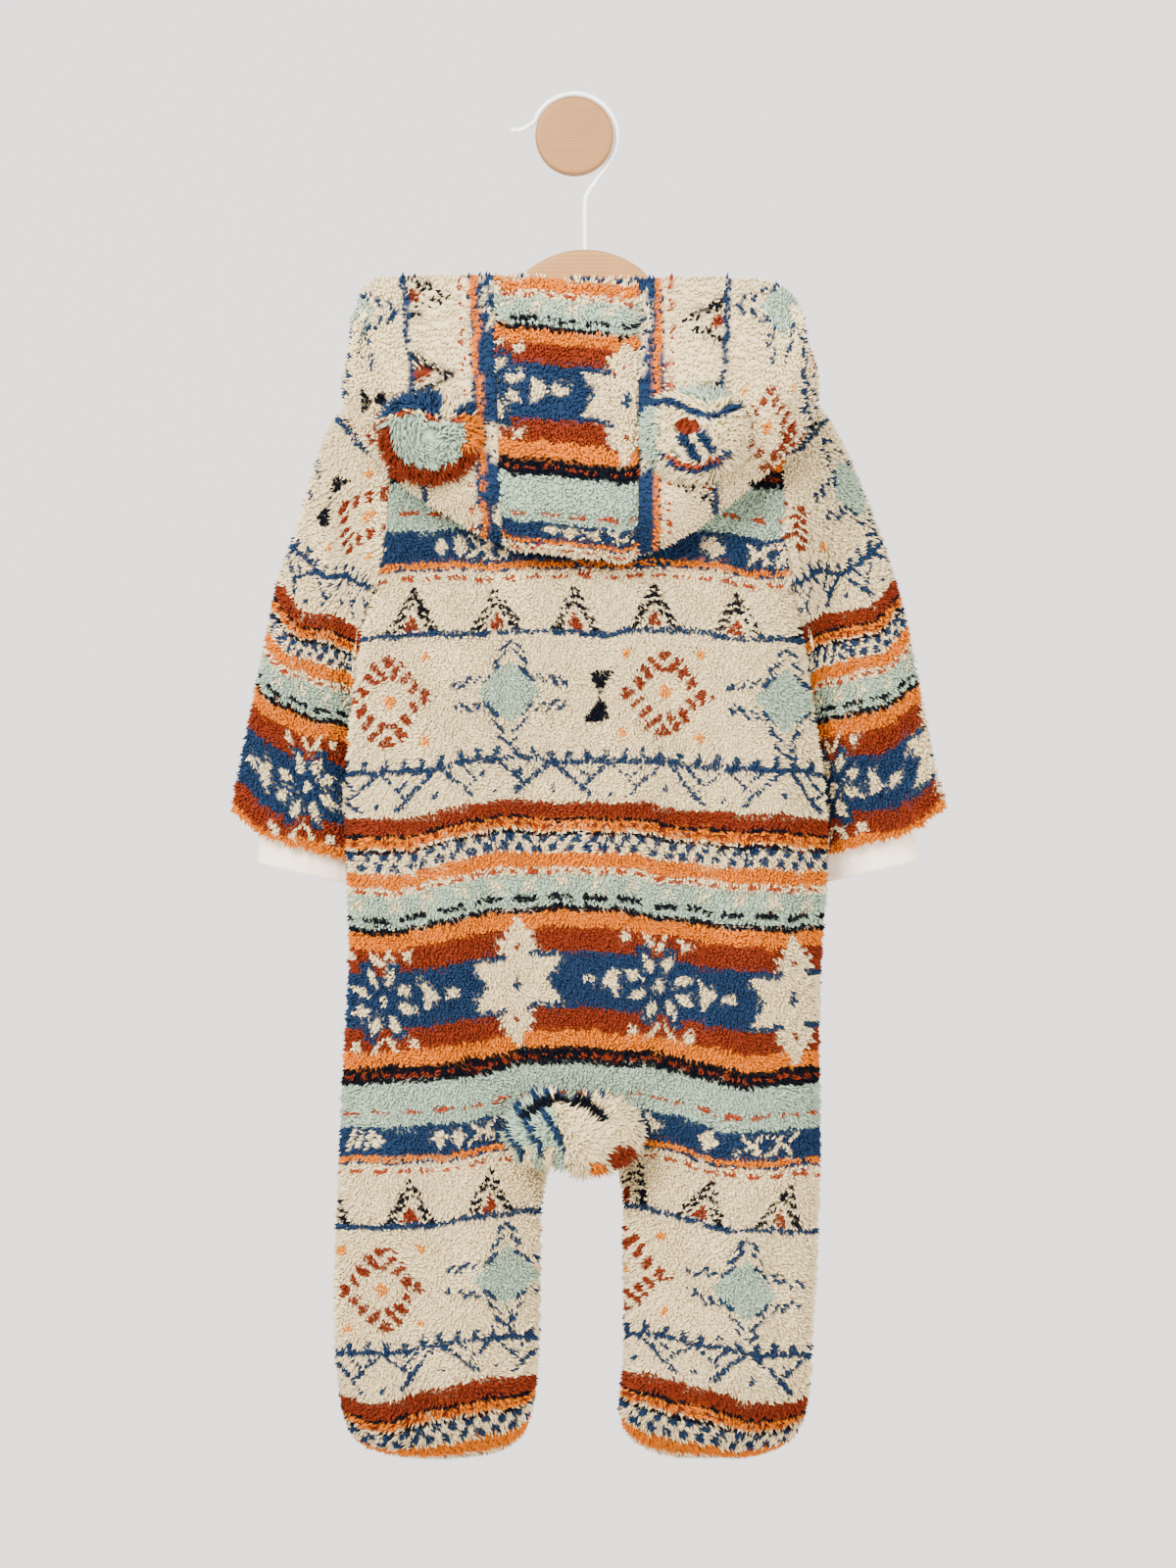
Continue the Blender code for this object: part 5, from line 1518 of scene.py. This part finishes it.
@dataclass
class Suit:
    """The cut and sewn cloth of the suit with its pile."""

    fleece: Material
    jersey: Material
    body: BodyForm = field(default_factory=BodyForm)
    dense: float = 1.45
    sparse: float = 2.0

    def sheet(
        self, name: str, panels: Sequence[Panel], area: float,
        pile: Sequence[tuple[list[Panel], float, int]],
    ) -> None:
        """Builds a panel's wall and its pile, and logs its area beside that of its cut.

        Args:
            name: name of the panel and of its CAD node.
            panels: its grids.
            area: area of the cut in square metres.
            pile: for each piece of pile, its panels, spacing and seed.
        """
        wall = Shell().build(f"{name}_cloth", panels, self.fleece)
        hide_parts(name)
        for index, (part, spacing, seed) in enumerate(pile):
            curl = Pile(spacing, 3.5 + 0.3 * spacing, seed)
            made = curl.build(f"{name}_pile_{index + 1}", part, self.fleece)
        real = wall_area(wall)
        LOG.info("%s: %.4f square metres, cut %.4f", name, real, area)

    def build_body(self) -> None:
        """The back, both fronts and the soles."""
        form = self.body
        halves = []
        for side in ("left", "right"):
            plan = form.plan(side, NECK_BACK, middle_back)
            halves.append(form.panel(plan, 1, BACK_CREASES, 101.5, flip=side == "right"))
        # Both halves share their middle column, where the creases must agree.
        rows = form.shared_rows
        joined = (halves[0].place[:rows, -1] + halves[1].place[:rows, -1]) / 2
        normal = unit(halves[0].normal[:rows, -1] + halves[1].normal[:rows, -1])
        for half in halves:
            half.place[:rows, -1], half.normal[:rows, -1] = joined, normal
        backs = [cut(half, 0, form.leg_rows) for half in halves]
        waist = form.leg_rows // 2
        spans = ((0, waist + 1), (waist, form.leg_rows))
        pile = [([cut(backs[i], a, b)], self.dense, 10 + 4 * i + a) for i in (0, 1) for a, b in spans]
        self.sheet("back", backs, 0.152, pile)
        for index, side in enumerate(("left", "right")):
            sole = cut(halves[index], form.leg_rows - 1, None)
            pile = [([sole], self.dense, 31 + index)]
            self.sheet(f"sole_{side}", [sole], 0.0052, pile)
        for side, middle in (("left", middle_left), ("right", middle_right)):
            plan = form.plan(side, NECK_FRONT, middle)
            sink = lap_sink(plan) if side == "right" else 0 * plan[..., 0]
            front = form.panel(plan, -1, FRONT_CREASES, 24.0, sink, side == "left")
            if side == "right":
                front.thick = np.where((plan[..., 0] < 12.5) & (plan[..., 1] > -482), 0.0, 1.0)
            half = len(plan) // 2
            parts = cut(front, 0, half + 1), cut(front, half, None)
            pile = [([part], self.sparse, seed) for seed, part in enumerate(parts, 41)]
            self.sheet(f"front_{side}", [front], 0.078, pile)

    def build_sleeves(self) -> None:
        """The sleeves and their cuffs."""
        for index, side in enumerate(("left", "right")):
            sleeve = SleeveForm(side).panel()
            pile = [([sleeve], self.dense, 51 + index)]
            self.sheet(f"sleeve_{side}", [sleeve], 0.0345, pile)
            self.build_cuff(side)

    def build_cuff(self, side: str) -> None:
        """A jersey cuff: rings from inside the sleeve to the hand, with soft gathers.

        The gathers are a sine round the wrist that fades towards the hand.
        """
        around, rows = 112, 22
        form = SleeveForm(side, columns=around // 2)
        place, normal, _, _ = form.surface(np.array([0.0, 0.45, 0.88]))
        rings = [place[2] - 3.3 * normal[2]]
        angle = circle(around)
        share = (1 - np.cos(angle)) / 2
        for outer_x, outer_z, inner_x, inner_z, depth in CUFF_RINGS[side]:
            rings.append(np.column_stack([
                outer_x + (inner_x - outer_x) * share + CENTRE_X,
                HANG_Y + SLEEVE_SWING - depth * np.sin(angle),
                outer_z + (inner_z - outer_z) * share,
            ]))
        table = np.column_stack([[0, 0.5, 1], np.array(rings).reshape(3, -1)])
        v = np.linspace(0, 1, rows + 1)
        place = smooth(table, v).reshape(rows + 1, around, 3)
        ring = np.roll(place, -1, 1) - np.roll(place, 1, 1)
        normal = unit(np.cross(ring, np.gradient(place, axis=0)))
        normal *= np.sign(((place - place.mean(1, keepdims=True)) * normal).sum(2, keepdims=True))
        gather = 0.8 * np.sin(9 * angle + 0.7) * np.sin(4 * angle) + 0.3 * np.sin(17 * angle)
        height = gather[None] * (1 - 0.75 * ease(v, 0.45, 1.0))[:, None] - 0.35
        height = height - 0.35 * np.exp(-(((v - 0.86) / 0.02) ** 2))[:, None]
        printed = np.stack([lengths(place, 1), lengths(place, 0)], -1)
        panel = lift(Panel(place, normal, printed, tube=True), height)
        made = Shell(0.0, 1.2).build(f"cuff_{side}_jersey", [panel], self.jersey)
        outward = np.array([v.normal[:] for v in made.data.vertices[:around]])
        if (outward * normal[0]).sum() < 0:
            made.data.flip_normals()
        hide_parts(f"cuff_{side}")
        LOG.info("cuff %s: %.4f square metres", side, wall_area(made))

    def build_hood(self) -> None:
        """The hood's middle strip and its two sides."""
        form = HoodForm()
        shoulder = 4.0
        wing = np.concatenate([
            np.linspace(HOOD_SEAM, shoulder, 40), np.linspace(shoulder, HOOD_FRONT, 24)[1:]])
        middle = form.panel(np.linspace(-HOOD_SEAM, HOOD_SEAM, 16))
        left, right = form.panel(-wing[::-1]), form.panel(wing)
        cuts = {
            "hood_middle": (middle, (0.080, 0.270), 0.0205),
            "hood_side_left": (left, (0.185, 0.260), 0.0255),
            "hood_side_right": (right, (0.185, 0.260), 0.0255),
        }
        for index, (name, (panel, flat, area)) in enumerate(cuts.items()):
            pile = [([panel], self.dense, 61 + index)]
            if name != "hood_middle":
                # Where a side turns over at the shoulder, its pile shows from within.
                near = (wing > 3.0) & (wing < 4.6)
                turned = inside_out(panel, slice(33, 66), near if panel is right else near[::-1])
                pile.append(([turned], self.dense, 66 + index))
            self.sheet(name, [panel], area, pile)


def inside_out(panel: Panel, rows: slice, columns: Array) -> Panel:
    """Some rows and columns of a panel, seen from the other side of its cloth."""
    grids = (panel.place, panel.normal, panel.printed)
    place, normal, printed = (grid[rows][:, columns] for grid in grids)
    return Panel(place - Shell.wall * normal, -normal, printed, not panel.flip)


def cut(panel: Panel, first: int, last: int | None) -> Panel:
    """Some rows of a panel."""
    rows = slice(first, last)
    thick = None if panel.thick is None else panel.thick[rows]
    return replace(panel, place=panel.place[rows].copy(), normal=panel.normal[rows].copy(),
                   printed=panel.printed[rows], thick=thick)


def wall_area(item: Item) -> float:
    """Half the surface of a closed wall, in square metres."""
    return sum(polygon.area for polygon in item.data.polygons) / 2


@dataclass
class StuffedPieces:
    """The two ears on the hood and the tail at the seat."""

    fleece: Material
    spacing: float = 1.5

    def ear_paint(self, side: str) -> Callable[[Array], Array]:
        """Colours of an ear, from its own place: bands on the left, strokes on the right."""
        x0, z0, width, height = EARS[side]

        def paint(points: Array) -> Array:
            """Linear colours of points in space."""
            x = (points[..., 0] - CENTRE_X - x0) / width
            z = (points[..., 2] - z0) / height
            made, fill = canvas(x.shape)
            far = np.hypot(x, z)
            if side == "left":
                bend = z + 0.10 * np.sin(4 * x)
                fill(bend < 0.34, SAGE)
                fill((bend > 0.44) & (x < 0.25), BLUE)
                fill((bend > 0.42) & (bend < 0.70) & (x > 0.55), BLUE)
                fill((abs(bend - 0.36) < 0.06) & (np.sin(11 * x + 1) > -0.3), BRICK)
                fill((far > 0.84) & (z < 0.1), RUST)
                fill((far > 0.80) & (x > 0.4) & (abs(z) < 0.45), ORANGE)
                return made
            bend = z + 0.16 * np.sin(3.2 * x + 0.6)
            fill((bend > 0.8) | (x < -0.78), SAGE)
            fill(abs(bend - 0.50) < 0.085, BLUE)
            fill((np.hypot(x, 1.2 * (z + 0.30)) < 0.46) & (np.sin(14 * x + 9 * z) > -0.1), BLUE)
            fill(np.hypot(x + 0.15, 1.6 * (z - 0.10)) < 0.27, RUST)
            fill((abs(far - 0.86) < 0.05) & (z < -0.4), BLUE)
            fill((abs(far - 0.76) < 0.05) & (z < -0.5), BRICK)
            return made

        return paint

    def build_ears(self) -> None:
        """Each ear is a squashed dome that stands on the hood, with a flat back.

        Its rim is a circle flattened at the top. Its height is 10.5 * sqrt(1 - r^2), less
        a soft dent in its middle.
        """
        stations = np.linspace(-3.0, 3.0, 121)
        ground_points = HoodForm().surface(stations, np.linspace(0.55, 0.98, 60)).reshape(-1, 3)
        for index, (side, (x, z, width, height)) in enumerate(EARS.items()):
            rings, around = 22, 64
            angle = circle(around)
            radius = np.sin(np.linspace(0, math.pi / 2, rings + 1))[:, None]
            squash = 1 - 0.16 * ease(np.sin(angle), 0.5, 1)
            plan_x = x + width * radius * np.cos(angle) + CENTRE_X
            plan_z = z + height * radius * squash * np.sin(angle)
            flat = np.column_stack([plan_x.ravel(), plan_z.ravel()])
            gap = np.linalg.norm(ground_points[:, [0, 2]] - flat[:, None], axis=2)
            near = np.argsort(gap, 1)[:, :6]
            weight = 1 / (np.take_along_axis(gap, near, 1) + 1.5)
            ground = (ground_points[near, 1] * weight).sum(1) / weight.sum(1) - 0.5
            ground = ground.reshape(plan_x.shape)
            bulge = np.sqrt(np.clip(1 - radius**2, 0, 1)) + 0 * angle
            dent = 0.22 * np.exp(-(((radius - 0.15) / 0.45) ** 2)) * (1 + 0.3 * np.sin(2 * angle + 1))
            front = ground - EAR_HEIGHT * bulge * (1 - dent)
            place = np.stack([plan_x, front, plan_z], -1)
            back = np.stack([plan_x, ground - 1.2 * (1 - bulge), plan_z], -1)
            whole = np.concatenate([place, back[-2::-1]])
            normal = grid_normals(whole, np.array([plan_x.mean(), ground.mean() - 2, plan_z.mean()]))
            printed = np.stack([whole[..., 0], -whole[..., 2]], -1)
            panel = Panel(whole, normal, printed, tube=True, paint=self.ear_paint(side))
            body = round_solid(f"ear_{side}_body", panel, self.fleece)
            curls = Pile(self.spacing, 8.0, 71 + index, 1.9)
            pile = curls.build(f"ear_{side}_pile", [cut(panel, 1, rings + 3)], self.fleece)
            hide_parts(f"ear_{side}")

    def tail_paint(self, points: Array) -> Array:
        """Colours of the tail: sage and blue left, cream right, a navy arch and a rust tip."""
        x, z = points[..., 0] - CENTRE_X, points[..., 2]
        made, fill = canvas(x.shape)
        left = x + 0.25 * (z + 505) < -13
        fill(left, SAGE)
        fill(left & (np.sin(0.5 * x + 0.28 * z) > 0.55), BLUE)
        fill(left & (z < -514) & (np.sin(0.6 * x) > 0), CREAM)
        fill((abs(np.hypot((x + 11) / 1.25, z + 506) - 17.5) < 2.6) & (z > -499), NAVY)
        fill((z > -487.5) & (np.sin(0.9 * x) > 0.2), BLUE)
        fill(np.hypot(x - 20, z + 521) < 7.5, RUST)
        fill(np.hypot(x - 7, z + 526) < 4.5, ORANGE)
        return made

    def build_tail(self) -> None:
        """The tail: from a middle in both lobes, the softened further of their surfaces.

        Along a direction d the distance to an ellipsoid is the larger root of a
        quadratic; both lobes' distances are blended by a soft maximum.
        """
        middle = np.array([-9.0, -87.0, -506.0])
        rings, around = 40, 64
        polar = np.linspace(0, math.pi, rings + 1)[:, None]
        angle = circle(around)
        way = np.stack([
            np.sin(polar) * np.cos(angle), np.sin(polar) * np.sin(angle), np.cos(polar) + 0 * angle], -1)
        found = []
        for x, y, z, width, depth, height in TAIL_LOBES:
            size = np.array([width, depth, height])
            d, m = way / size, (middle - [x, y, z]) / size
            a, b, c = (d * d).sum(-1), (d * m).sum(-1), (m * m).sum() - 1
            found.append((-b + np.sqrt(np.maximum(b * b - a * c, 0))) / a)
        blend = np.log(np.exp(0.7 * found[0]) + np.exp(0.7 * found[1])) / 0.7 - 0.6
        far = np.minimum(blend, np.maximum(found[0], found[1]) + 1.2)
        dimple = 1.3 * np.sin(3 * angle + 2 * polar) * np.sin(polar) ** 2
        whole = middle + [CENTRE_X, 0, 0] + (far + dimple - 1.0)[..., None] * way
        normal = grid_normals(whole, middle + [CENTRE_X, 0, 0])
        printed = np.stack([whole[..., 0], -whole[..., 2]], -1)
        panel = Panel(whole, normal, printed, tube=True, paint=self.tail_paint)
        body = round_solid("tail_body", panel, self.fleece)
        curls = Pile(self.spacing, 7.5, 77, 2.2)
        pile = curls.build("tail_pile", [cut(panel, 2, rings - 1)], self.fleece)
        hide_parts("tail")


def grid_normals(grid: Array, middle: Array) -> Array:
    """Normals of a round grid, away from its middle: the cross product of its two steps."""
    ring = np.roll(grid, -1, 1) - np.roll(grid, 1, 1)
    normal = unit(np.cross(ring, np.gradient(grid, axis=0)))
    outward = unit(grid - middle)
    lost = np.linalg.norm(ring, axis=2, keepdims=True) < 1e-3
    normal = np.where(lost, outward, normal)
    return normal * np.where((normal * outward).sum(2, keepdims=True) < 0, -1, 1)


def ring_faces(body: Array, first: int, last: int) -> tuple[Array, Array]:
    """Faces between rings of points, and fans that close both ends.

    Args:
        body: numbers of the points, rings by places round.
        first, last: numbers of the points in the middle of both ends.
    Returns:
        Corners of the quads and of the triangles.
    """
    after = np.roll(body, -1, 1)
    quads = np.stack([body[:-1], body[1:], after[1:], after[:-1]], -1).reshape(-1, 4)
    caps = np.vstack([
        np.column_stack([0 * body[0] + first, body[0], after[0]]),
        np.column_stack([0 * body[0] + last, after[-1], body[-1]]),
    ])
    return quads, caps


def round_solid(name: str, panel: Panel, finish: Material) -> Item:
    """A closed round piece from rings whose first and last are points.

    Args:
        name: its name.
        panel: a tube whose end rings have no size.
        finish: its material.
    Returns:
        The piece.
    """
    rows, around = panel.place.shape[:2]
    points = np.vstack([panel.place[:1, 0], panel.place[1:-1].reshape(-1, 3), panel.place[-1:, 0]])
    body = 1 + np.arange((rows - 2) * around).reshape(rows - 2, around)
    quads, caps = ring_faces(body, 0, len(points) - 1)
    middle = points.mean(0)
    first, second, third = (points[quads[:, i]] for i in range(3))
    side = (np.cross(second - first, third - first) * (first - middle)).sum()
    if side < 0:
        quads, caps = quads[:, ::-1], caps[:, ::-1]
    made = new_object(name, points, [quads, caps], finish)
    colours = panel.colours(points, np.column_stack([points[:, 0], -points[:, 2]]))
    # The body is painted with the same shade as the cloth under the pile.
    set_attributes(made, colours, np.full(len(points), OUTER_LIGHT))
    return made


# The hook's bead: its width as a share of the wire's, and its length in millimetres.
BEAD_WIDTH = 1.35
BEAD_LENGTH = 1.9


@dataclass
class Hardware:
    """The hanger, its hook, the wall peg and the press studs."""

    half_depth: float = 5.5
    half_width: float = 98.4
    turn: float = 2.6
    top: float = -58.0
    peg_radius: float = 20.0
    wire: float = 1.25

    def hanger_lines(self, x: Array) -> tuple[Array, Array]:
        """Upper and lower edge of the hanger at each x."""
        upper = (
            (0, self.top), (6, -58.4), (12, -59.6), (22, -63.7), (31, -70.5), (38, -82), (43, -96),
            (49, -104), (59, -105.5), (70, -108.3), (84, -116.7), (95, -126.2), (self.half_width, -131.5),
        )
        lower = (
            (0, -109.5), (30, -112.5), (52, -119), (70, -126.5), (84, -133.0), (95, -136.5),
            (self.half_width, -133.5),
        )
        return smooth(upper, abs(x))[:, 0], smooth(lower, abs(x))[:, 0]

    def build_hanger(self) -> None:
        """The hanger: at each x a rounded slab between its upper and lower edge.

        Its section is a superellipse of power 5: |y / h|^5 + |z / v|^5 = 1. The edges
        turn within a constant height, however tall the slab is, and both tips close.
        """
        across = self.half_width * np.sin(np.linspace(-math.pi / 2, math.pi / 2, 141))
        upper, lower = self.hanger_lines(across)
        angle = circle(56)
        y, z = (np.sign(part) * abs(part) ** (2 / 5.0) for part in (np.cos(angle), np.sin(angle)))
        end = np.sqrt(np.clip(1 - (abs(across) / self.half_width) ** 24, 0, 1))[:, None]
        middle, half = (upper + lower)[:, None] / 2, (upper - lower)[:, None] / 2
        turn = half - np.minimum(half, self.turn) * (1 - abs(z))
        level = np.sign(z) * np.where(abs(z) > 0.02, turn, 0) * np.minimum(1, abs(z) / 0.45)
        grid = np.stack([
            across[:, None] + CENTRE_X + 0 * y,
            HANG_Y + self.half_depth * y * (0.35 + 0.65 * end),
            middle + level * (0.3 + 0.7 * end),
        ], -1)
        wood = WoodFinish(
            "hanger_wood", light=(0.37, 0.175, 0.048), dark=(0.27, 0.115, 0.03),
            centre=(0.0, 0.05, 0.32), stretch=(0.35, 1.0, 1.0), rings=150.0)
        made = tube_solid("hanger_body", grid, wood.material())
        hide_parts("hanger")

    def build_hook(self) -> None:
        """The wire: a round tube along a smooth line up from the hanger and over the peg.

        Its free end is a small round bead.
        """
        ring = self.peg_radius + self.wire + 0.5
        route = [
            (CENTRE_X, self.top - 8.0), (CENTRE_X, -48), (CENTRE_X, -36), (CENTRE_X + 0.4, -31),
            (9.6, -24.5), (13.8, -18.6), (17.8, -12.6),
        ]
        turn = np.radians(np.arange(-20, 161, 10))
        route += list(zip(ring * np.cos(turn), ring * np.sin(turn)))
        route += [(-23.2, 5.6), (-27.0, 3.4), (-30.6, 3.2)]
        path = along(route, np.linspace(0, 1, 150))
        way = unit(np.gradient(path, axis=0))
        angle = circle(16)
        side = np.column_stack([-way[:, 1], way[:, 0]])
        offset = self.wire * np.cos(angle) + 0 * path[:, :1]
        grid = np.stack([
            path[:, :1] + side[:, :1] * offset,
            HANG_Y + self.wire * np.sin(angle) + 0 * path[:, :1],
            path[:, 1:] + side[:, 1:] * offset,
        ], -1)
        centre, bead = grid[-1].mean(0), np.array([way[-1, 0], 0, way[-1, 1]]) * BEAD_LENGTH
        tip = [centre + (grid[-1] - centre) * BEAD_WIDTH * np.cos(t) + bead * np.sin(t)
               for t in np.linspace(0.0, 1.5, 6)]
        coat = GlossFinish("white_wire", (0.87, 0.865, 0.85), 0.36)
        made = tube_solid("hook_wire", np.concatenate([grid, np.array(tip)]), coat.material())
        LOG.info("hook: %d rings", len(path) + len(tip))
        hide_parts("hook")

    def build_peg(self) -> None:
        """The peg: a profile of distance from the wall and radius, turned about its axis."""
        fine = turned_profile((
            (0.0, 0.02), (0, 13.2), (0.4, 13.8), (1, 14.0), (8, 14.6), (20, 16.2), (32, 18.4),
            (42, 19.8), (48, 20.0), (56.4, 20.0), (57.2, 19.75), (57.75, 19.25), (58, 18.6),
            (58, 12), (58, 6), (58, 0.02),
        ), 5)
        angle = circle(96)
        grid = np.stack([
            fine[:, 1:] * np.cos(angle), -fine[:, :1] + 0 * angle, fine[:, 1:] * np.sin(angle)], -1)
        wood = WoodFinish(
            "peg_wood", light=(0.30, 0.138, 0.036), dark=(0.19, 0.078, 0.02),
            centre=(0.02, 0.0, 0.145), stretch=(0.22, 0.12, 1.0), rings=235.0)
        made = tube_solid("peg_body", grid, wood.material())
        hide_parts("wall_peg")

    def build_studs(self) -> None:
        """Press studs on the front lap: a low cap with a ring and a dimple, turned."""
        fine = turned_profile((
            (0.0, 0.02), (0.0, 5.4), (0.5, 5.6), (1.2, 5.55), (1.9, 5.1), (2.2, 4.5), (2.25, 3.9),
            (1.95, 3.4), (1.7, 2.8), (1.6, 1.6), (1.55, 0.02),
        ), 3)
        angle = circle(40)
        cap = GlossFinish("stud_cap", (0.022, 0.042, 0.10), 0.42).material()
        for number, level in enumerate(STUD_LEVELS, 1):
            depth = smooth(DEPTHS, [level])[0, 0]
            slope = smooth(DEPTHS, [level + 4, level - 4])[:, 0]
            tilt = math.atan2(slope[1] - slope[0], 8)
            y, z = fine[:, :1] + 0 * angle, fine[:, 1:] * np.sin(angle)
            grid = np.stack([
                CENTRE_X + fine[:, 1:] * np.cos(angle),
                HANG_Y + depth + 0.75 + y * math.cos(tilt) - z * math.sin(tilt),
                level + y * math.sin(tilt) + z * math.cos(tilt),
            ], -1)
            made = tube_solid(f"stud_{number}_cap", grid, cap)
            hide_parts(f"stud_{number}")


def turned_profile(profile: Sequence, parts: int) -> Array:
    """Points of a profile with straight edges, each edge in so many parts."""
    corners = np.asarray(profile, float)
    at = np.linspace(0, len(corners) - 1, parts * (len(corners) - 1) + 1)
    return np.column_stack([np.interp(at, np.arange(len(corners)), column) for column in corners.T])


def tube_solid(name: str, grid: Array, finish: Material) -> Item:
    """A closed piece from rings of points, each end a fan round its middle.

    Args:
        name: its name.
        grid: places in millimetres, rings by places round.
        finish: its material.
    Returns:
        The piece, its faces turned out.
    """
    rows, around = grid.shape[:2]
    count = rows * around
    points = np.vstack([grid.reshape(-1, 3), grid[0].mean(0), grid[-1].mean(0)])
    faces = ring_faces(np.arange(count).reshape(rows, around), count, count + 1)
    made = new_object(name, points, faces, finish)
    outward_faces(made)
    return made


def outward_faces(item: Item) -> None:
    """Turns a closed piece's faces out where its signed volume is less than nothing."""
    mesh = item.data
    mesh.calc_loop_triangles()
    points = np.empty(3 * len(mesh.vertices))
    mesh.vertices.foreach_get("co", points)
    corners = np.empty(3 * len(mesh.loop_triangles), np.int32)
    mesh.loop_triangles.foreach_get("vertices", corners)
    a, b, c = (points.reshape(-1, 3)[corners.reshape(-1, 3)[:, i]] for i in range(3))
    if (a * np.cross(b, c)).sum() < 0:
        mesh.flip_normals()


@dataclass
class Studio:
    """A pale floor, soft lights and the camera."""

    centre: tuple[float, float, float] = (0.0069, -0.052, -0.3305)
    distance: float = 4.0
    lens: float = 180.0

    def build(self) -> None:
        """Places the floor, the background light, three soft lights and the camera."""
        bpy.ops.mesh.primitive_plane_add(size=8, location=(0, 0, -1.25))
        floor = bpy.context.object
        floor.name = "floor"
        nodes = Nodes("pale_floor")
        floor.data.materials.append(nodes.shade(Base_Color=(0.72, 0.69, 0.67, 1), Roughness=0.9))
        bpy.ops.mesh.primitive_plane_add(size=16, location=(0, 6.0, 0), rotation=(math.pi / 2, 0, 0))
        backdrop = bpy.context.object
        backdrop.name = "backdrop"
        nodes = Nodes("pale_backdrop")
        backdrop.data.materials.append(nodes.shade(
            Base_Color=(0, 0, 0, 1), Emission_Color=(0.76, 0.71, 0.68, 1), Emission_Strength=2.95))
        world = bpy.data.worlds.new("studio")
        world.use_nodes = True
        world.node_tree.nodes["Background"].inputs["Color"].default_value = (0.745, 0.705, 0.685, 1)
        world.node_tree.nodes["Background"].inputs["Strength"].default_value = 1.7
        bpy.context.scene.world = world
        self.light("key", (-1.3, -2.6, 1.0), 1.3, 350.0)
        self.light("fill", (1.9, -2.2, 0.3), 1.8, 120.0)
        self.light("back", (0.6, 2.6, 1.2), 1.8, 90.0)
        camera_data = bpy.data.cameras.new("camera")
        camera_data.lens = self.lens
        camera_data.sensor_width = 36.0
        camera_data.sensor_fit = "AUTO"
        camera_data.clip_end = 60
        camera = bpy.data.objects.new("camera", camera_data)
        bpy.context.scene.collection.objects.link(camera)
        camera.location = (self.centre[0], self.centre[1] - self.distance, self.centre[2])
        camera.rotation_euler = (math.pi / 2, 0, 0)
        bpy.context.scene.camera = camera

    def light(self, name: str, place: tuple, size: float, power: float) -> None:
        """A square soft light that faces the suit."""
        data = bpy.data.lights.new(name, "AREA")
        data.size, data.energy = size, power
        lamp = bpy.data.objects.new(name, data)
        bpy.context.scene.collection.objects.link(lamp)
        lamp.location = place
        way = Vector(self.centre) - Vector(place)
        lamp.rotation_euler = way.to_track_quat("-Z", "Y").to_euler()


def main() -> None:
    """Builds the suit, its ears and tail, the hardware and the studio."""
    logging.basicConfig(level=logging.INFO, format="%(message)s")
    fleece = FleeceFinish("printed_fleece").material()
    suit = Suit(fleece, JerseyFinish().material())
    suit.build_body()
    suit.build_sleeves()
    suit.build_hood()
    stuffed = StuffedPieces(fleece)
    stuffed.build_ears()
    stuffed.build_tail()
    hardware = Hardware()
    hardware.build_hanger()
    hardware.build_hook()
    hardware.build_peg()
    hardware.build_studs()
    Studio().build()


if __name__ == "__main__":
    main()
